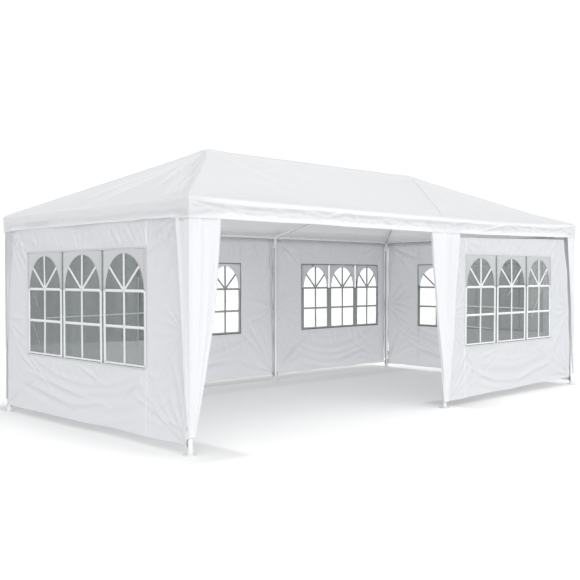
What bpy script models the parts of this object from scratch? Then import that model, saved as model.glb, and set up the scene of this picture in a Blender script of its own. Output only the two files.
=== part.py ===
"""White marquee tent, 6 m by 3 m, with a two-peak hip roof and window walls.

Six steel legs on round base plates carry the eave rails, hip rafters,
middle rafters and ridge pole, which plug into welded connectors. A fabric
canopy with a valance lies over them, tapering fabric covers wrap the legs,
and five window walls hang outside the legs. The front left bay is open.

X runs along the long front, Y from the front to the back and Z up. The
origin is on the ground, under the middle of the tent.
"""

import math

import bmesh
import bpy
from mathutils import Matrix, Vector

# Canopy
LENGTH = 6.0
WIDTH = 3.0
EAVE_TOP = 1.95
VALANCE_DROP = 0.158
PEAK_HEIGHT = 2.592
PEAK_X = 1.62
FABRIC = 0.0015
ROOF_SEAM = 0.0012
VALANCE_SEAM = 0.0018

# Frame
TUBE_RADIUS = 0.018
SLEEVE_RADIUS = 0.0215
HUB_RADIUS = 0.024
BORE_RADIUS = 0.0186
SOCKET_START = 0.065
SLEEVE_START = 0.008
SLEEVE_REACH = 0.13
RAIL_HEIGHT = 1.846
LEG_SPLICE_HEIGHT = 0.954
LEG_SPLICE_LENGTH = 0.09
LEG_SPLICE_RADIUS = 0.0205
FRONT_MID_X = 0.29
BACK_MID_X = 0.69

# Base plates
PLATE_RADIUS = 0.0575
PLATE_THICKNESS = 0.005
SOCKET_RADIUS = 0.0225
SOCKET_HEIGHT = 0.05

# Walls and windows, with heights above the ground
WALL_BOTTOM = 0.07
WALL_TOP = 1.86
FRONT_WALL_TOP = 1.76
FRONT_WALL_END = 2.88
WALL_END_GAP = 0.045
WALL_MID_GAP = 0.012
FILM = 0.0006
FILM_EDGE = 0.012
PANE_MARGIN = 0.034

# Window heights: film bottom and top, pane bottom, arch spring and rise
NEAR_WINDOW = (0.612, 1.567, 0.632, 1.228, 0.307)
FAR_WINDOW = (0.642, 1.498, 0.655, 1.188, 0.285)

# Leg covers: a width is taken at the valance's lower edge and at the foot
COVER_TOP = 1.932
CORNER_COVER_BOTTOM = 0.128
MID_COVER_BOTTOM = 0.06
CORNER_COVER_FOOT = (0.064, 0.038)
MID_COVER_WIDTH = 0.488
MID_COVER_FOOT = 0.078

SEAT_GAP = 0.0003
ROUND_SIDES = 20
ARCH_STEPS = 12

# Layers outward from a leg's axis: wall, cover, valance
WALL_INNER = HUB_RADIUS + SEAT_GAP
WALL_MIDDLE = WALL_INNER + FABRIC / 2
FILM_MIDDLE = WALL_INNER - SEAT_GAP - FILM / 2
COVER_OUTER = WALL_INNER + 2 * FABRIC + SEAT_GAP
CANOPY_OUTER = COVER_OUTER + SEAT_GAP + FABRIC

LEG_X = LENGTH / 2 - CANOPY_OUTER
LEG_Y = WIDTH / 2 - CANOPY_OUTER
VALANCE_BOTTOM = EAVE_TOP - VALANCE_DROP

# The peak hubs sit one seat gap under the steeper roof planes
END_SLOPE = math.atan((PEAK_HEIGHT - EAVE_TOP) / (LENGTH / 2 - PEAK_X))
PEAK_HUB_Z = PEAK_HEIGHT - (HUB_RADIUS + SEAT_GAP + FABRIC) / math.cos(END_SLOPE)

MID_X = {"front": FRONT_MID_X, "back": BACK_MID_X}
ROW_Y = {"front": -LEG_Y, "back": LEG_Y}
END_X = {"left": -LEG_X, "right": LEG_X}

# Corner cover widths along X and along Y at the valance's lower edge
CORNER_COVERS = {
    ("front", "left"): (0.293, 0.146),
    ("front", "right"): (0.166, 0.146),
    ("back", "left"): (0.293, 0.17),
    ("back", "right"): (0.20, 0.146),
}

# Window frames: the posts between panes, measured along each wall
FRONT_RIGHT_PANES = (0.622, 1.22, 1.848, 2.41)
BACK_LEFT_PANES = (-1.42, -0.91, -0.40, 0.112)
BACK_RIGHT_PANES = (1.21, 1.742, 2.29, 2.79)
END_LEFT_PANES = (-0.939, -0.301, 0.367, 1.018)
END_RIGHT_PANES = (-1.06, -0.405, 0.248, 0.90)

WHITE_FABRIC = ("canopy_fabric", (0.86, 0.87, 0.89), 0.62, 0.0)
WALL_FABRIC = ("wall_fabric", (0.84, 0.85, 0.88), 0.6, 0.0)
WINDOW_FILM = ("window_film", (0.66, 0.72, 0.72), 0.12, 0.0)
WHITE_TUBE = ("coated_tube", (0.80, 0.81, 0.83), 0.38, 0.1)
CONNECTOR_STEEL = ("connector_steel", (0.74, 0.75, 0.77), 0.42, 0.2)
PLATE_STEEL = ("plate_steel", (0.62, 0.63, 0.65), 0.45, 0.5)


def clear_scene():
    for item in list(bpy.data.objects):
        bpy.data.objects.remove(item, do_unlink=True)


def new_collection(name):
    collection = bpy.data.collections.new(name)
    bpy.context.scene.collection.children.link(collection)
    return collection


def make_material(node_name, finish):
    """One Principled material for one piece."""
    label, colour, roughness, metallic = finish
    material = bpy.data.materials.new(f"{node_name}_{label}")
    material.use_nodes = True
    shader = material.node_tree.nodes["Principled BSDF"]
    shader.inputs["Base Color"].default_value = (*colour, 1.0)
    shader.inputs["Roughness"].default_value = roughness
    shader.inputs["Metallic"].default_value = metallic
    return material


def add_object(name, data, finish=None):
    """Link an object: a piece has a finish, and a cutter has none."""
    piece = bpy.data.objects.new(name, data)
    if finish:
        PARTS.objects.link(piece)
        data.materials.append(make_material(name, finish))
    else:
        CUTTERS.objects.link(piece)
        piece.hide_render = True
        piece.display_type = 'WIRE'
    return piece


def mesh_from(name, shape):
    mesh = bpy.data.meshes.new(name)
    shape.to_mesh(mesh)
    shape.free()
    return mesh


def tube(name, start, end, finish):
    """A straight round tube between two points, trimmed to seat in its sockets."""
    along = (end - start).normalized()
    trim = SOCKET_START + SEAT_GAP
    curve = bpy.data.curves.new(name, 'CURVE')
    curve.dimensions = '3D'
    curve.bevel_depth = TUBE_RADIUS
    curve.bevel_resolution = (ROUND_SIDES - 4) // 2
    curve.use_fill_caps = True
    line = curve.splines.new('POLY')
    line.points.add(1)
    line.points[0].co = (*(start + along * trim), 1.0)
    line.points[1].co = (*(end - along * trim), 1.0)
    return add_object(name, curve, finish)


def rod_shape(centre, direction, first, last, radius):
    """A cylinder along a direction, between two distances from the centre."""
    shape = bmesh.new()
    along = direction.normalized()
    turn = along.to_track_quat('Z', 'Y').to_matrix().to_4x4()
    place = Matrix.Translation(centre + along * (first + last) / 2) @ turn
    bmesh.ops.create_cone(shape, cap_ends=True, segments=ROUND_SIDES, radius1=radius,
                          radius2=radius, depth=last - first, matrix=place)
    return shape


def add_boolean(piece, cutter, operation):
    step = piece.modifiers.new(cutter.name, 'BOOLEAN')
    step.operation = operation
    step.solver = 'EXACT'
    step.object = cutter


def connector(name, centre, targets):
    """A hub with one sleeve towards each target point, bored for its tube.

    A pair of targets that face each other shares one straight sleeve.
    """
    hub = bmesh.new()
    bmesh.ops.create_uvsphere(hub, u_segments=ROUND_SIDES, v_segments=ROUND_SIDES // 2,
                              radius=HUB_RADIUS, matrix=Matrix.Translation(centre))
    piece = add_object(name, mesh_from(name, hub), CONNECTOR_STEEL)
    directions = [(target - centre).normalized() for target in targets]
    shared = []
    for number, along in enumerate(directions):
        if any(along.dot(other) < -0.999 for other in shared):
            continue
        facing = any(along.dot(other) < -0.999 for other in directions)
        first = -SLEEVE_REACH if facing else SLEEVE_START
        sleeve = rod_shape(centre, along, first, SLEEVE_REACH, SLEEVE_RADIUS)
        cutter = f"{name}_sleeve_{number}"
        add_boolean(piece, add_object(cutter, mesh_from(cutter, sleeve)), 'UNION')
        shared.append(along)
    for number, along in enumerate(directions):
        bore = rod_shape(centre, along, SOCKET_START, 2 * SLEEVE_REACH, BORE_RADIUS)
        cutter = f"{name}_bore_{number}"
        add_boolean(piece, add_object(cutter, mesh_from(cutter, bore)), 'DIFFERENCE')
    return piece


def turned(name, profile, location, finish):
    """A solid of revolution about Z; the profile runs down its outer side."""
    shape = bmesh.new()
    points = [shape.verts.new((radius, 0.0, height)) for radius, height in profile]
    for first, second in zip(points, points[1:]):
        shape.edges.new((first, second))
    piece = add_object(name, mesh_from(name, shape), finish)
    piece.location = location
    spin = piece.modifiers.new("turn", 'SCREW')
    spin.steps = ROUND_SIDES
    spin.render_steps = ROUND_SIDES
    spin.use_merge_vertices = True
    spin.merge_threshold = 0.0001
    spin.use_smooth_shade = False
    return piece


def foot(name, x, y):
    """A round plate with the low socket that the leg stands in."""
    floor = PLATE_THICKNESS
    profile = (
        (0.0, floor), (BORE_RADIUS, floor), (BORE_RADIUS, SOCKET_HEIGHT),
        (SOCKET_RADIUS, SOCKET_HEIGHT), (SOCKET_RADIUS, floor),
        (PLATE_RADIUS - 0.001, floor), (PLATE_RADIUS, floor - 0.001),
        (PLATE_RADIUS, 0.0), (0.0, 0.0),
    )
    return turned(name, profile, (x, y, 0.0), PLATE_STEEL)


def leg(name, x, y):
    """A two-part leg tube with the swelling where its halves plug together."""
    top = RAIL_HEIGHT - SOCKET_START - SEAT_GAP
    bottom = PLATE_THICKNESS + SEAT_GAP
    splice_top = LEG_SPLICE_HEIGHT + LEG_SPLICE_LENGTH / 2
    splice_bottom = LEG_SPLICE_HEIGHT - LEG_SPLICE_LENGTH / 2
    swell = LEG_SPLICE_RADIUS - TUBE_RADIUS
    profile = (
        (0.0, top), (TUBE_RADIUS, top), (TUBE_RADIUS, splice_top + swell),
        (LEG_SPLICE_RADIUS, splice_top), (LEG_SPLICE_RADIUS, splice_bottom),
        (TUBE_RADIUS, splice_bottom - swell), (TUBE_RADIUS, bottom), (0.0, bottom),
    )
    return turned(name, profile, (x, y, 0.0), WHITE_TUBE)


def solidify(piece, thickness):
    """Give an open sheet its thickness on the inner side of its faces."""
    step = piece.modifiers.new("thickness", 'SOLIDIFY')
    step.thickness = thickness
    step.offset = -1.0
    step.use_even_offset = True


def canopy_sheet():
    """The hip roof and its valance: a box whose lid is drawn up to the ridge."""
    shape = bmesh.new()
    bmesh.ops.create_cube(shape, size=1.0)
    for corner in shape.verts:
        corner.co.x *= LENGTH
        corner.co.y *= WIDTH
        corner.co.z = EAVE_TOP if corner.co.z > 0 else VALANCE_BOTTOM
    lid = max(shape.faces, key=lambda face: face.calc_center_median().z)
    base = min(shape.faces, key=lambda face: face.calc_center_median().z)
    bmesh.ops.delete(shape, geom=[base], context='FACES_ONLY')
    raised = bmesh.ops.extrude_face_region(shape, geom=[lid])["geom"]
    bmesh.ops.delete(shape, geom=[lid], context='FACES_ONLY')
    for item in raised:
        if isinstance(item, bmesh.types.BMVert):
            item.co = (math.copysign(PEAK_X, item.co.x), 0.0, PEAK_HEIGHT)
    bmesh.ops.remove_doubles(shape, verts=shape.verts[:], dist=0.0001)
    bmesh.ops.recalc_face_normals(shape, faces=shape.faces[:])
    return shape


def side_name(normal):
    if abs(normal.x) > abs(normal.y):
        return "right" if normal.x > 0 else "left"
    return "back" if normal.y > 0 else "front"


def build_canopy():
    """Four roof panels and four valances, cut short of their shared seams."""
    whole = canopy_sheet()
    for face in whole.faces:
        is_roof = face.normal.z > 0.5
        name = f"{'roof_panel' if is_roof else 'valance'}_{side_name(face.normal)}"
        panel = bmesh.new()
        outline = panel.faces.new([panel.verts.new(corner.co) for corner in face.verts])
        outline.normal_update()
        bmesh.ops.inset_individual(panel, faces=[outline], use_even_offset=True,
                                   thickness=ROOF_SEAM if is_roof else VALANCE_SEAM)
        rim = [strip for strip in panel.faces if strip is not outline]
        bmesh.ops.delete(panel, geom=rim, context='FACES')
        solidify(add_object(name, mesh_from(name, panel), WHITE_FABRIC), FABRIC)
    whole.free()


def taper(height, bottom, foot_width, top_width):
    """Width of a leg cover at a height, from its foot to the valance's edge."""
    rise = (height - bottom) / (VALANCE_BOTTOM - bottom)
    return foot_width + (top_width - foot_width) * rise


def cover(name, place, inward_x, inward_y, bottom, foot_widths, top_widths):
    """A tapering cover with a fold down its middle.

    A corner cover turns along X on one side of the fold and along Y on the
    other. A middle cover is flat: both sides run along X.
    """
    shape = bmesh.new()
    bmesh.ops.create_grid(shape, x_segments=2, y_segments=2, size=1.0)
    fold = Vector((place[0], place[1], 0.0))
    for point in shape.verts:
        side = round(point.co.x)
        height = bottom + (COVER_TOP - bottom) * (point.co.y + 1.0) / 2
        if side < 0:
            along = inward_x * taper(height, bottom, foot_widths[0], top_widths[0])
        elif side > 0:
            along = inward_y * taper(height, bottom, foot_widths[1], top_widths[1])
        else:
            along = Vector((0.0, 0.0, 0.0))
        point.co = fold + along + Vector((0.0, 0.0, height))
    outward = Vector((place[0], place[1], 0.0))
    for face in shape.faces:
        face.normal_update()
        if face.normal.dot(outward) < 0:
            face.normal_flip()
    piece = add_object(name, mesh_from(name, shape), WHITE_FABRIC)
    solidify(piece, FABRIC)
    return piece


def corner_cover(name, row, end):
    top_widths = CORNER_COVERS[row, end]
    x = math.copysign(LEG_X + COVER_OUTER, END_X[end])
    y = math.copysign(LEG_Y + COVER_OUTER, ROW_Y[row])
    inward_x = Vector((-math.copysign(1.0, x), 0.0, 0.0))
    inward_y = Vector((0.0, -math.copysign(1.0, y), 0.0))
    return cover(name, (x, y), inward_x, inward_y, CORNER_COVER_BOTTOM,
                 CORNER_COVER_FOOT, top_widths)


def mid_cover(name, row):
    y = math.copysign(LEG_Y + COVER_OUTER, ROW_Y[row])
    half_foot = MID_COVER_FOOT / 2
    half_top = MID_COVER_WIDTH / 2
    left = Vector((-1.0, 0.0, 0.0))
    piece = cover(name, (0.0, y), left, -left, MID_COVER_BOTTOM,
                  (half_foot, half_foot), (half_top, half_top))
    piece.location.x = MID_X[row]
    return piece


def closed_spline(curve, points):
    line = curve.splines.new('POLY')
    line.points.add(len(points) - 1)
    for slot, (x, y) in zip(line.points, points):
        slot.co = (x, y, 0.0, 1.0)
    line.use_cyclic_u = True


def rectangle(left, right, bottom, top):
    return [(left, bottom), (right, bottom), (right, top), (left, top)]


def arched_pane(left, right, bottom, spring, rise):
    """A pane outline: square below and half an ellipse above its spring line."""
    middle = (left + right) / 2
    half = (right - left) / 2
    arch = []
    for step in range(ARCH_STEPS + 1):
        angle = math.pi * step / ARCH_STEPS
        arch.append((middle + half * math.cos(angle), spring + rise * math.sin(angle)))
    return [(left, bottom), (right, bottom)] + arch


def sheet(name, outlines, thickness, runs_along, middle, finish):
    """A flat upright sheet from its outline and holes, in a plane of X or Y."""
    curve = bpy.data.curves.new(name, 'CURVE')
    curve.dimensions = '2D'
    curve.fill_mode = 'BOTH'
    curve.extrude = thickness / 2
    for outline in outlines:
        closed_spline(curve, outline)
    piece = add_object(name, curve, finish)
    if runs_along == 'X':
        piece.rotation_euler = (math.pi / 2, 0.0, 0.0)
        piece.location = (0.0, middle, 0.0)
    else:
        piece.rotation_euler = (math.pi / 2, 0.0, math.pi / 2)
        piece.location = (middle, 0.0, 0.0)
    return piece


def window_wall(name, runs_along, line, span, posts, heights, top=WALL_TOP):
    """A wall panel with three panes cut through it, and the film behind them.

    The line is the legs' axis that the wall hangs outside of, the span is
    the wall's two ends, and the posts bound the panes.
    """
    film_bottom, film_top, pane_bottom, spring, rise = heights
    panes = [arched_pane(first + PANE_MARGIN, second - PANE_MARGIN, pane_bottom, spring, rise)
             for first, second in zip(posts, posts[1:])]
    panel = rectangle(span[0], span[1], WALL_BOTTOM, top)
    sheet(f"{name}_wall", [panel] + panes, FABRIC, runs_along,
          line + math.copysign(WALL_MIDDLE, line), WALL_FABRIC)
    film = rectangle(posts[0] + FILM_EDGE, posts[-1] - FILM_EDGE, film_bottom, film_top)
    sheet(f"{name}_window_film", [film], FILM, runs_along,
          line + math.copysign(FILM_MIDDLE, line), WINDOW_FILM)


def build_legs():
    for row, y in ROW_Y.items():
        for place, x in (("left", -LEG_X), ("mid", MID_X[row]), ("right", LEG_X)):
            foot(f"foot_{row}_{place}", x, y)
            leg(f"leg_{row}_{place}", x, y)


def build_frame():
    """Connectors, and the tubes that run between them."""
    down = Vector((0.0, 0.0, -1.0))
    peaks = {"left": Vector((-PEAK_X, 0.0, PEAK_HUB_Z)), "right": Vector((PEAK_X, 0.0, PEAK_HUB_Z))}
    corners = {(row, end): Vector((END_X[end], ROW_Y[row], RAIL_HEIGHT))
               for row in ROW_Y for end in END_X}
    mids = {row: Vector((MID_X[row], ROW_Y[row], RAIL_HEIGHT)) for row in ROW_Y}

    for (row, end), hub in corners.items():
        other_row = "back" if row == "front" else "front"
        connector(f"corner_connector_{row}_{end}", hub,
                  [mids[row], corners[other_row, end], hub + down, peaks[end]])
        tube(f"eave_rail_{row}_{end}", hub, mids[row], WHITE_TUBE)
        tube(f"hip_rafter_{row}_{end}", hub, peaks[end], WHITE_TUBE)
    for row, hub in mids.items():
        connector(f"mid_connector_{row}", hub,
                  [corners[row, "left"], corners[row, "right"], hub + down, peaks["right"]])
        tube(f"mid_rafter_{row}", hub, peaks["right"], WHITE_TUBE)
    for end in END_X:
        tube(f"eave_rail_end_{end}", corners["front", end], corners["back", end], WHITE_TUBE)
    connector("peak_connector_left", peaks["left"],
              [peaks["right"], corners["front", "left"], corners["back", "left"]])
    connector("peak_connector_right", peaks["right"],
              [peaks["left"], corners["front", "right"], corners["back", "right"],
               mids["front"], mids["back"]])
    tube("ridge_pole", peaks["left"], peaks["right"], WHITE_TUBE)


def build_covers():
    for row, end in CORNER_COVERS:
        corner_cover(f"leg_cover_{row}_{end}", row, end)
    for row in ROW_Y:
        mid_cover(f"leg_cover_{row}_mid", row)


def build_walls():
    """Five window walls; the front left bay has none."""
    reach_x = LENGTH / 2 - WALL_END_GAP
    reach_y = WIDTH / 2 - WALL_END_GAP
    window_wall("front_right", 'X', -LEG_Y, (MID_X["front"] + WALL_MID_GAP, FRONT_WALL_END),
                FRONT_RIGHT_PANES, NEAR_WINDOW, FRONT_WALL_TOP)
    window_wall("back_left", 'X', LEG_Y, (-reach_x, MID_X["back"] - WALL_MID_GAP),
                BACK_LEFT_PANES, FAR_WINDOW)
    window_wall("back_right", 'X', LEG_Y, (MID_X["back"] + WALL_MID_GAP, reach_x),
                BACK_RIGHT_PANES, FAR_WINDOW)
    window_wall("end_left", 'Y', -LEG_X, (-reach_y, reach_y), END_LEFT_PANES,
                NEAR_WINDOW)
    window_wall("end_right", 'Y', LEG_X, (-reach_y, reach_y), END_RIGHT_PANES,
                FAR_WINDOW)


clear_scene()
PARTS = new_collection("marquee_tent")
CUTTERS = new_collection("cutters")
build_legs()
build_frame()
build_canopy()
build_covers()
build_walls()
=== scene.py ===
"""The looks of a white marquee tent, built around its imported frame.

Every piece is placed from the frame's own boxes, in metres, +Z up, with the
open bay at the front left. Cloth is cut as fine grids and creased where the
real one is held: at its corners, its ties, the peaks and the eaves.
"""

import math
import random

import bmesh
import bpy
import numpy as np
from mathutils import Matrix, Vector


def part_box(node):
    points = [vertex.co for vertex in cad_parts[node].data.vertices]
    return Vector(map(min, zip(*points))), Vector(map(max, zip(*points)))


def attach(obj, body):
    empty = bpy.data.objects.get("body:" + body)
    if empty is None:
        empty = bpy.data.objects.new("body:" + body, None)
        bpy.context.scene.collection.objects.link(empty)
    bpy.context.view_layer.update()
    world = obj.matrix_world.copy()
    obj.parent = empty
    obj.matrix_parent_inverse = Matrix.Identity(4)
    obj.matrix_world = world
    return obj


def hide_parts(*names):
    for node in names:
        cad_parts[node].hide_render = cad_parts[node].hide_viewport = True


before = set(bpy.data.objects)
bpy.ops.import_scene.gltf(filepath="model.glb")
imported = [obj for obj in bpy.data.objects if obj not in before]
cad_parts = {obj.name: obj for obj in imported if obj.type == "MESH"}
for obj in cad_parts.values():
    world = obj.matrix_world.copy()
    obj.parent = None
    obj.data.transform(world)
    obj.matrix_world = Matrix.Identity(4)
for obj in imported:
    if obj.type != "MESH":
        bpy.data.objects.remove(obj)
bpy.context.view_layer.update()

bl_info = {
    "name": "Marquee Tent Looks",
    "version": (1, 0, 0),
    "blender": (4, 5, 0),
    "location": "View3D > Sidebar > Tent",
    "description": "Dresses the frame of a marquee tent in cloth, film and coated tube",
    "category": "Object",
}

BODY = "root"

# Sizes read from the frame
HALF_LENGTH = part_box("valance_right")[1].x
HALF_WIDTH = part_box("valance_back")[1].y
VALANCE_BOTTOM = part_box("valance_front")[0].z
EAVE = (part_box("valance_front")[1].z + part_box("roof_panel_front")[0].z) / 2
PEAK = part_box("roof_panel_front")[1].z
PEAK_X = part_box("roof_panel_right")[0].x
TUBE_RADIUS = (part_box("ridge_pole")[1].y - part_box("ridge_pole")[0].y) / 2

# The legs' splice, and a connector's sleeves and hub
SPLICE_HEIGHT = 0.954
SPLICE_REACH = 0.045
SLEEVE_RADIUS = 0.0215
SLEEVE_REACH = 0.13
HUB_RADIUS = 0.024

# How far from a connector's centre a tube starts
TUBE_START = 0.065 + 0.0003

ROWS = ("front", "back")
ENDS = ("left", "right")
LEGS = tuple((row, place) for row in ROWS for place in ("left", "mid", "right"))
WALLS = ("front_right", "back_left", "back_right", "end_left", "end_right")

# Pane posts along each wall, and the side where the panel's long seam runs
PANE_POSTS = {
    "front_right": (0.622, 1.22, 1.848, 2.41),
    "back_left": (-1.42, -0.91, -0.40, 0.112),
    "back_right": (1.21, 1.742, 2.29, 2.79),
    "end_left": (-0.939, -0.301, 0.367, 1.018),
    "end_right": (-1.06, -0.405, 0.248, 0.90),
}
SEAM_AT_LOW_SIDE = {"front_right": True, "back_left": False, "back_right": True,
                    "end_left": True, "end_right": False}

# Heights in a window: its rim, the foot of the panes, both bars and the arch's rise
NEAR_WINDOW = {"bottom": 0.606, "top": 1.573, "sill": 0.632, "low_bar": 0.932,
               "high_bar": 1.228, "rise": 0.307}
FAR_WINDOW = {"bottom": 0.636, "top": 1.504, "sill": 0.655, "low_bar": 0.914,
              "high_bar": 1.188, "rise": 0.285}
RAY_ANGLE = math.radians(40)


def colour_property(name, description, default):
    """A colour that a user would change."""
    return bpy.props.FloatVectorProperty(name=name, description=description, subtype='COLOR',
                                         size=3, min=0, max=1, default=default)


def length_property(name, description, default, low, high):
    """A length that a user would change, in metres."""
    return bpy.props.FloatProperty(name=name, description=description, unit='LENGTH',
                                   min=low, max=high, default=default)


def share_property(name, description, default, high=1):
    """A share of something, from none of it up to a limit."""
    return bpy.props.FloatProperty(name=name, description=description, subtype='FACTOR',
                                   min=0, max=high, default=default)


def strength_property(name, description, default, high=5):
    """How strong a light is."""
    return bpy.props.FloatProperty(name=name, description=description, min=0, max=high,
                                   default=default)


class ClothLook(bpy.types.PropertyGroup):
    canopy_colour: colour_property("Canopy colour", "Colour of the canopy and leg covers",
                                   (0.86, 0.87, 0.89))
    wall_colour: colour_property("Wall colour", "Colour of the window walls",
                                 (0.80, 0.817, 0.84))
    thickness: length_property("Cloth thickness", "Thickness of the leg covers and walls",
                               0.0008, 0.0003, 0.003)
    weave: length_property("Weave", "Width of one woven strip in the cloth",
                           0.0024, 0.0005, 0.01)
    hem: length_property("Hem", "Width of the stitched hems", 0.022, 0.005, 0.06)
    fold_depth: share_property("Fold depth", "Scale of every fold in the cloth", 1.0, 3)
    glow: share_property("Glow", "Share of light that each face of the cloth lets through", 0.46)


class WindowLook(bpy.types.PropertyGroup):
    film_colour: colour_property("Film colour", "Tint of the clear window film",
                                 (0.088, 0.108, 0.107))
    print_colour: colour_property("Spandrel colour", "Colour of the frosted print over the arches",
                                  (0.55, 0.565, 0.58))
    film_cover: share_property("Film cover", "How much each face of the film hides what is behind",
                               0.52)
    bar_width: length_property("Bar width", "Width of the white window bars", 0.024, 0.005, 0.06)
    slit: length_property("Slit", "Clear strip between two printed windows", 0.03, 0.0, 0.06)


class FrameLook(bpy.types.PropertyGroup):
    tube_colour: colour_property("Tube colour", "Powder coat on the tubes and connectors",
                                 (0.93, 0.94, 0.95))
    plate_colour: colour_property("Plate colour", "Coat on the base plates", (0.76, 0.77, 0.78))
    knob_colour: colour_property("Knob colour", "Moulded clamp knobs and webbing straps",
                                 (0.2, 0.215, 0.21))


class StageLook(bpy.types.PropertyGroup):
    ambient: strength_property("Ambient", "Even light from above the horizon", 0.6)
    ground: strength_property("Ground light", "Even light from below the horizon", 0.54)
    front_bank: strength_property("Front bank", "Soft light from the front", 1.18)
    right_bank: strength_property("Right bank", "Soft light from the right", 0.3)
    left_bank: strength_property("Left bank", "Soft light from the left", 0.53)
    top_bank: strength_property("Top bank", "Soft light from above", 0.39)
    key: strength_property("Key", "Soft key light from the front right", 0.2, 20)
    backdrop: strength_property("Backdrop", "Brightness of the backdrop in plain view", 1.05)
    window_glow: strength_property("Window glow", "Extra backdrop brightness seen through film",
                                   2.1, 10)
    floor_lift: strength_property("Floor lift", "Light that the floor gives off itself", 0.1, 1)


# A wave texture of scale 1 repeats at this length
WAVE_PITCH = 0.31416


class Signal:
    """A number in a material. Arithmetic on it adds Math nodes."""

    def __init__(self, finish, socket):
        self.finish = finish
        self.socket = socket

    def math(self, operation, first, second):
        return self.finish.node('ShaderNodeMath', {"operation": operation}, {0: first, 1: second})

    def __add__(self, other):
        return self.math('ADD', self, other)

    def __radd__(self, other):
        return self.math('ADD', other, self)

    def __sub__(self, other):
        return self.math('SUBTRACT', self, other)

    def __rsub__(self, other):
        return self.math('SUBTRACT', other, self)

    def __mul__(self, other):
        return self.math('MULTIPLY', self, other)

    def __rmul__(self, other):
        return self.math('MULTIPLY', other, self)

    def __gt__(self, other):
        return self.math('GREATER_THAN', self, other)

    def __lt__(self, other):
        return self.math('LESS_THAN', self, other)


class Finish:
    """A node tree under construction, for a material or for the world."""

    def __init__(self, tree):
        self.tree = tree
        tree.nodes.clear()

    def feed(self, socket, value):
        """Link a signal into a socket, or set its constant."""
        if isinstance(value, Signal):
            self.tree.links.new(value.socket, socket)
        elif hasattr(value, "__len__") and socket.type == 'RGBA' and len(value) == 3:
            socket.default_value = (*value, 1.0)
        else:
            socket.default_value = value

    def node(self, kind, settings, sockets, output=0):
        """Add a node: its settings first, then its sockets. Returns one output."""
        item = self.tree.nodes.new(kind)
        for name, value in settings.items():
            setattr(item, name, value)
        for name, value in sockets.items():
            self.feed(item.inputs[name], value)
        if not len(item.outputs):
            return None
        return Signal(self, item.outputs[output])

    def mix(self, factor, first, second):
        """A colour between two, by a factor."""
        return self.node('ShaderNodeMix', {"data_type": 'RGBA'},
                         {"Factor": factor, 6: first, 7: second}, 2)

    def clamped(self, value):
        """A number kept between 0 and 1."""
        return self.node('ShaderNodeClamp', {}, {"Value": value})

    def eased(self, value, low, high):
        """A smooth step from 0 to 1 while a number goes from low to high."""
        return self.node('ShaderNodeMapRange', {"interpolation_type": 'SMOOTHSTEP'},
                         {"Value": value, "From Min": low, "From Max": high})

    def widest(self, first, second):
        """The greater of two numbers."""
        return self.node('ShaderNodeMath', {"operation": 'MAXIMUM'}, {0: first, 1: second})

    def noise(self, place, scale, detail, roughness=0.5):
        """A cloudy number between 0 and 1."""
        return self.node('ShaderNodeTexNoise', {},
                         {"Vector": place, "Scale": scale, "Detail": detail,
                          "Roughness": roughness}, "Fac")

    def bands(self, place, direction, pitch):
        """A wave between 0 and 1 that repeats along X or Y at a pitch."""
        return self.node('ShaderNodeTexWave', {"wave_type": 'BANDS', "bands_direction": direction},
                         {"Vector": place, "Scale": WAVE_PITCH / pitch, "Distortion": 0.0}, "Fac")

    def place(self, kind):
        """A texture coordinate, such as Object or UV."""
        return self.node('ShaderNodeTexCoord', {}, {}, kind)

    def axis(self, place, name):
        """One of the numbers X, Y and Z of a place."""
        return self.node('ShaderNodeSeparateXYZ', {}, {0: place}, name)

    def facing(self, way, toward):
        """How much a direction points towards another, between -1 and 1."""
        return self.node('ShaderNodeVectorMath', {"operation": 'DOT_PRODUCT'},
                         {0: way, 1: toward}, "Value")

    def stretched(self, place, scale, turn=(0.0, 0.0, 0.0)):
        """A place turned by three angles and scaled along each axis."""
        return self.node('ShaderNodeMapping', {},
                         {"Vector": place, "Rotation": turn, "Scale": scale})

    def bump(self, height, distance, strength):
        """A normal bent by a height."""
        return self.node('ShaderNodeBump', {},
                         {"Height": height, "Distance": distance, "Strength": strength})


def new_material(name):
    """An empty material, and the finish that fills it."""
    material = bpy.data.materials.new(name)
    material.use_nodes = True
    return material, Finish(material.node_tree)


def tinted(colour, share):
    """A colour made darker or lighter, never past white."""
    return tuple(min(1.0, channel * share) for channel in colour)


# The light that shines through cloth keeps this colour
THROUGH_COLOUR = (0.94, 0.94, 0.945)


def principled(finish, sockets, glow=0.0):
    """The surface shader of a material. Glow is its share of light let through."""
    surface = finish.node('ShaderNodeBsdfPrincipled', {}, sockets)
    if glow:
        through = finish.node('ShaderNodeBsdfTranslucent', {}, {"Color": THROUGH_COLOUR})
        surface = finish.node('ShaderNodeMixShader', {}, {0: glow, 1: surface, 2: through})
    finish.node('ShaderNodeOutputMaterial', {}, {"Surface": surface})


# Where a hem's stitch lies between the cloth's edge and the hem's end
STITCH_START = 0.86
STITCH_END = 0.96

# The cloth's tones against its colour, the depth of its relief, and what a hem holds back of light
CLOTH_MOTTLE = 0.955
LAP_LIGHTER = 1.02
THREAD_DARKER = 0.78
CLOTH_RELIEF = 0.0016
LAP_SHADE = 0.35


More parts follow.
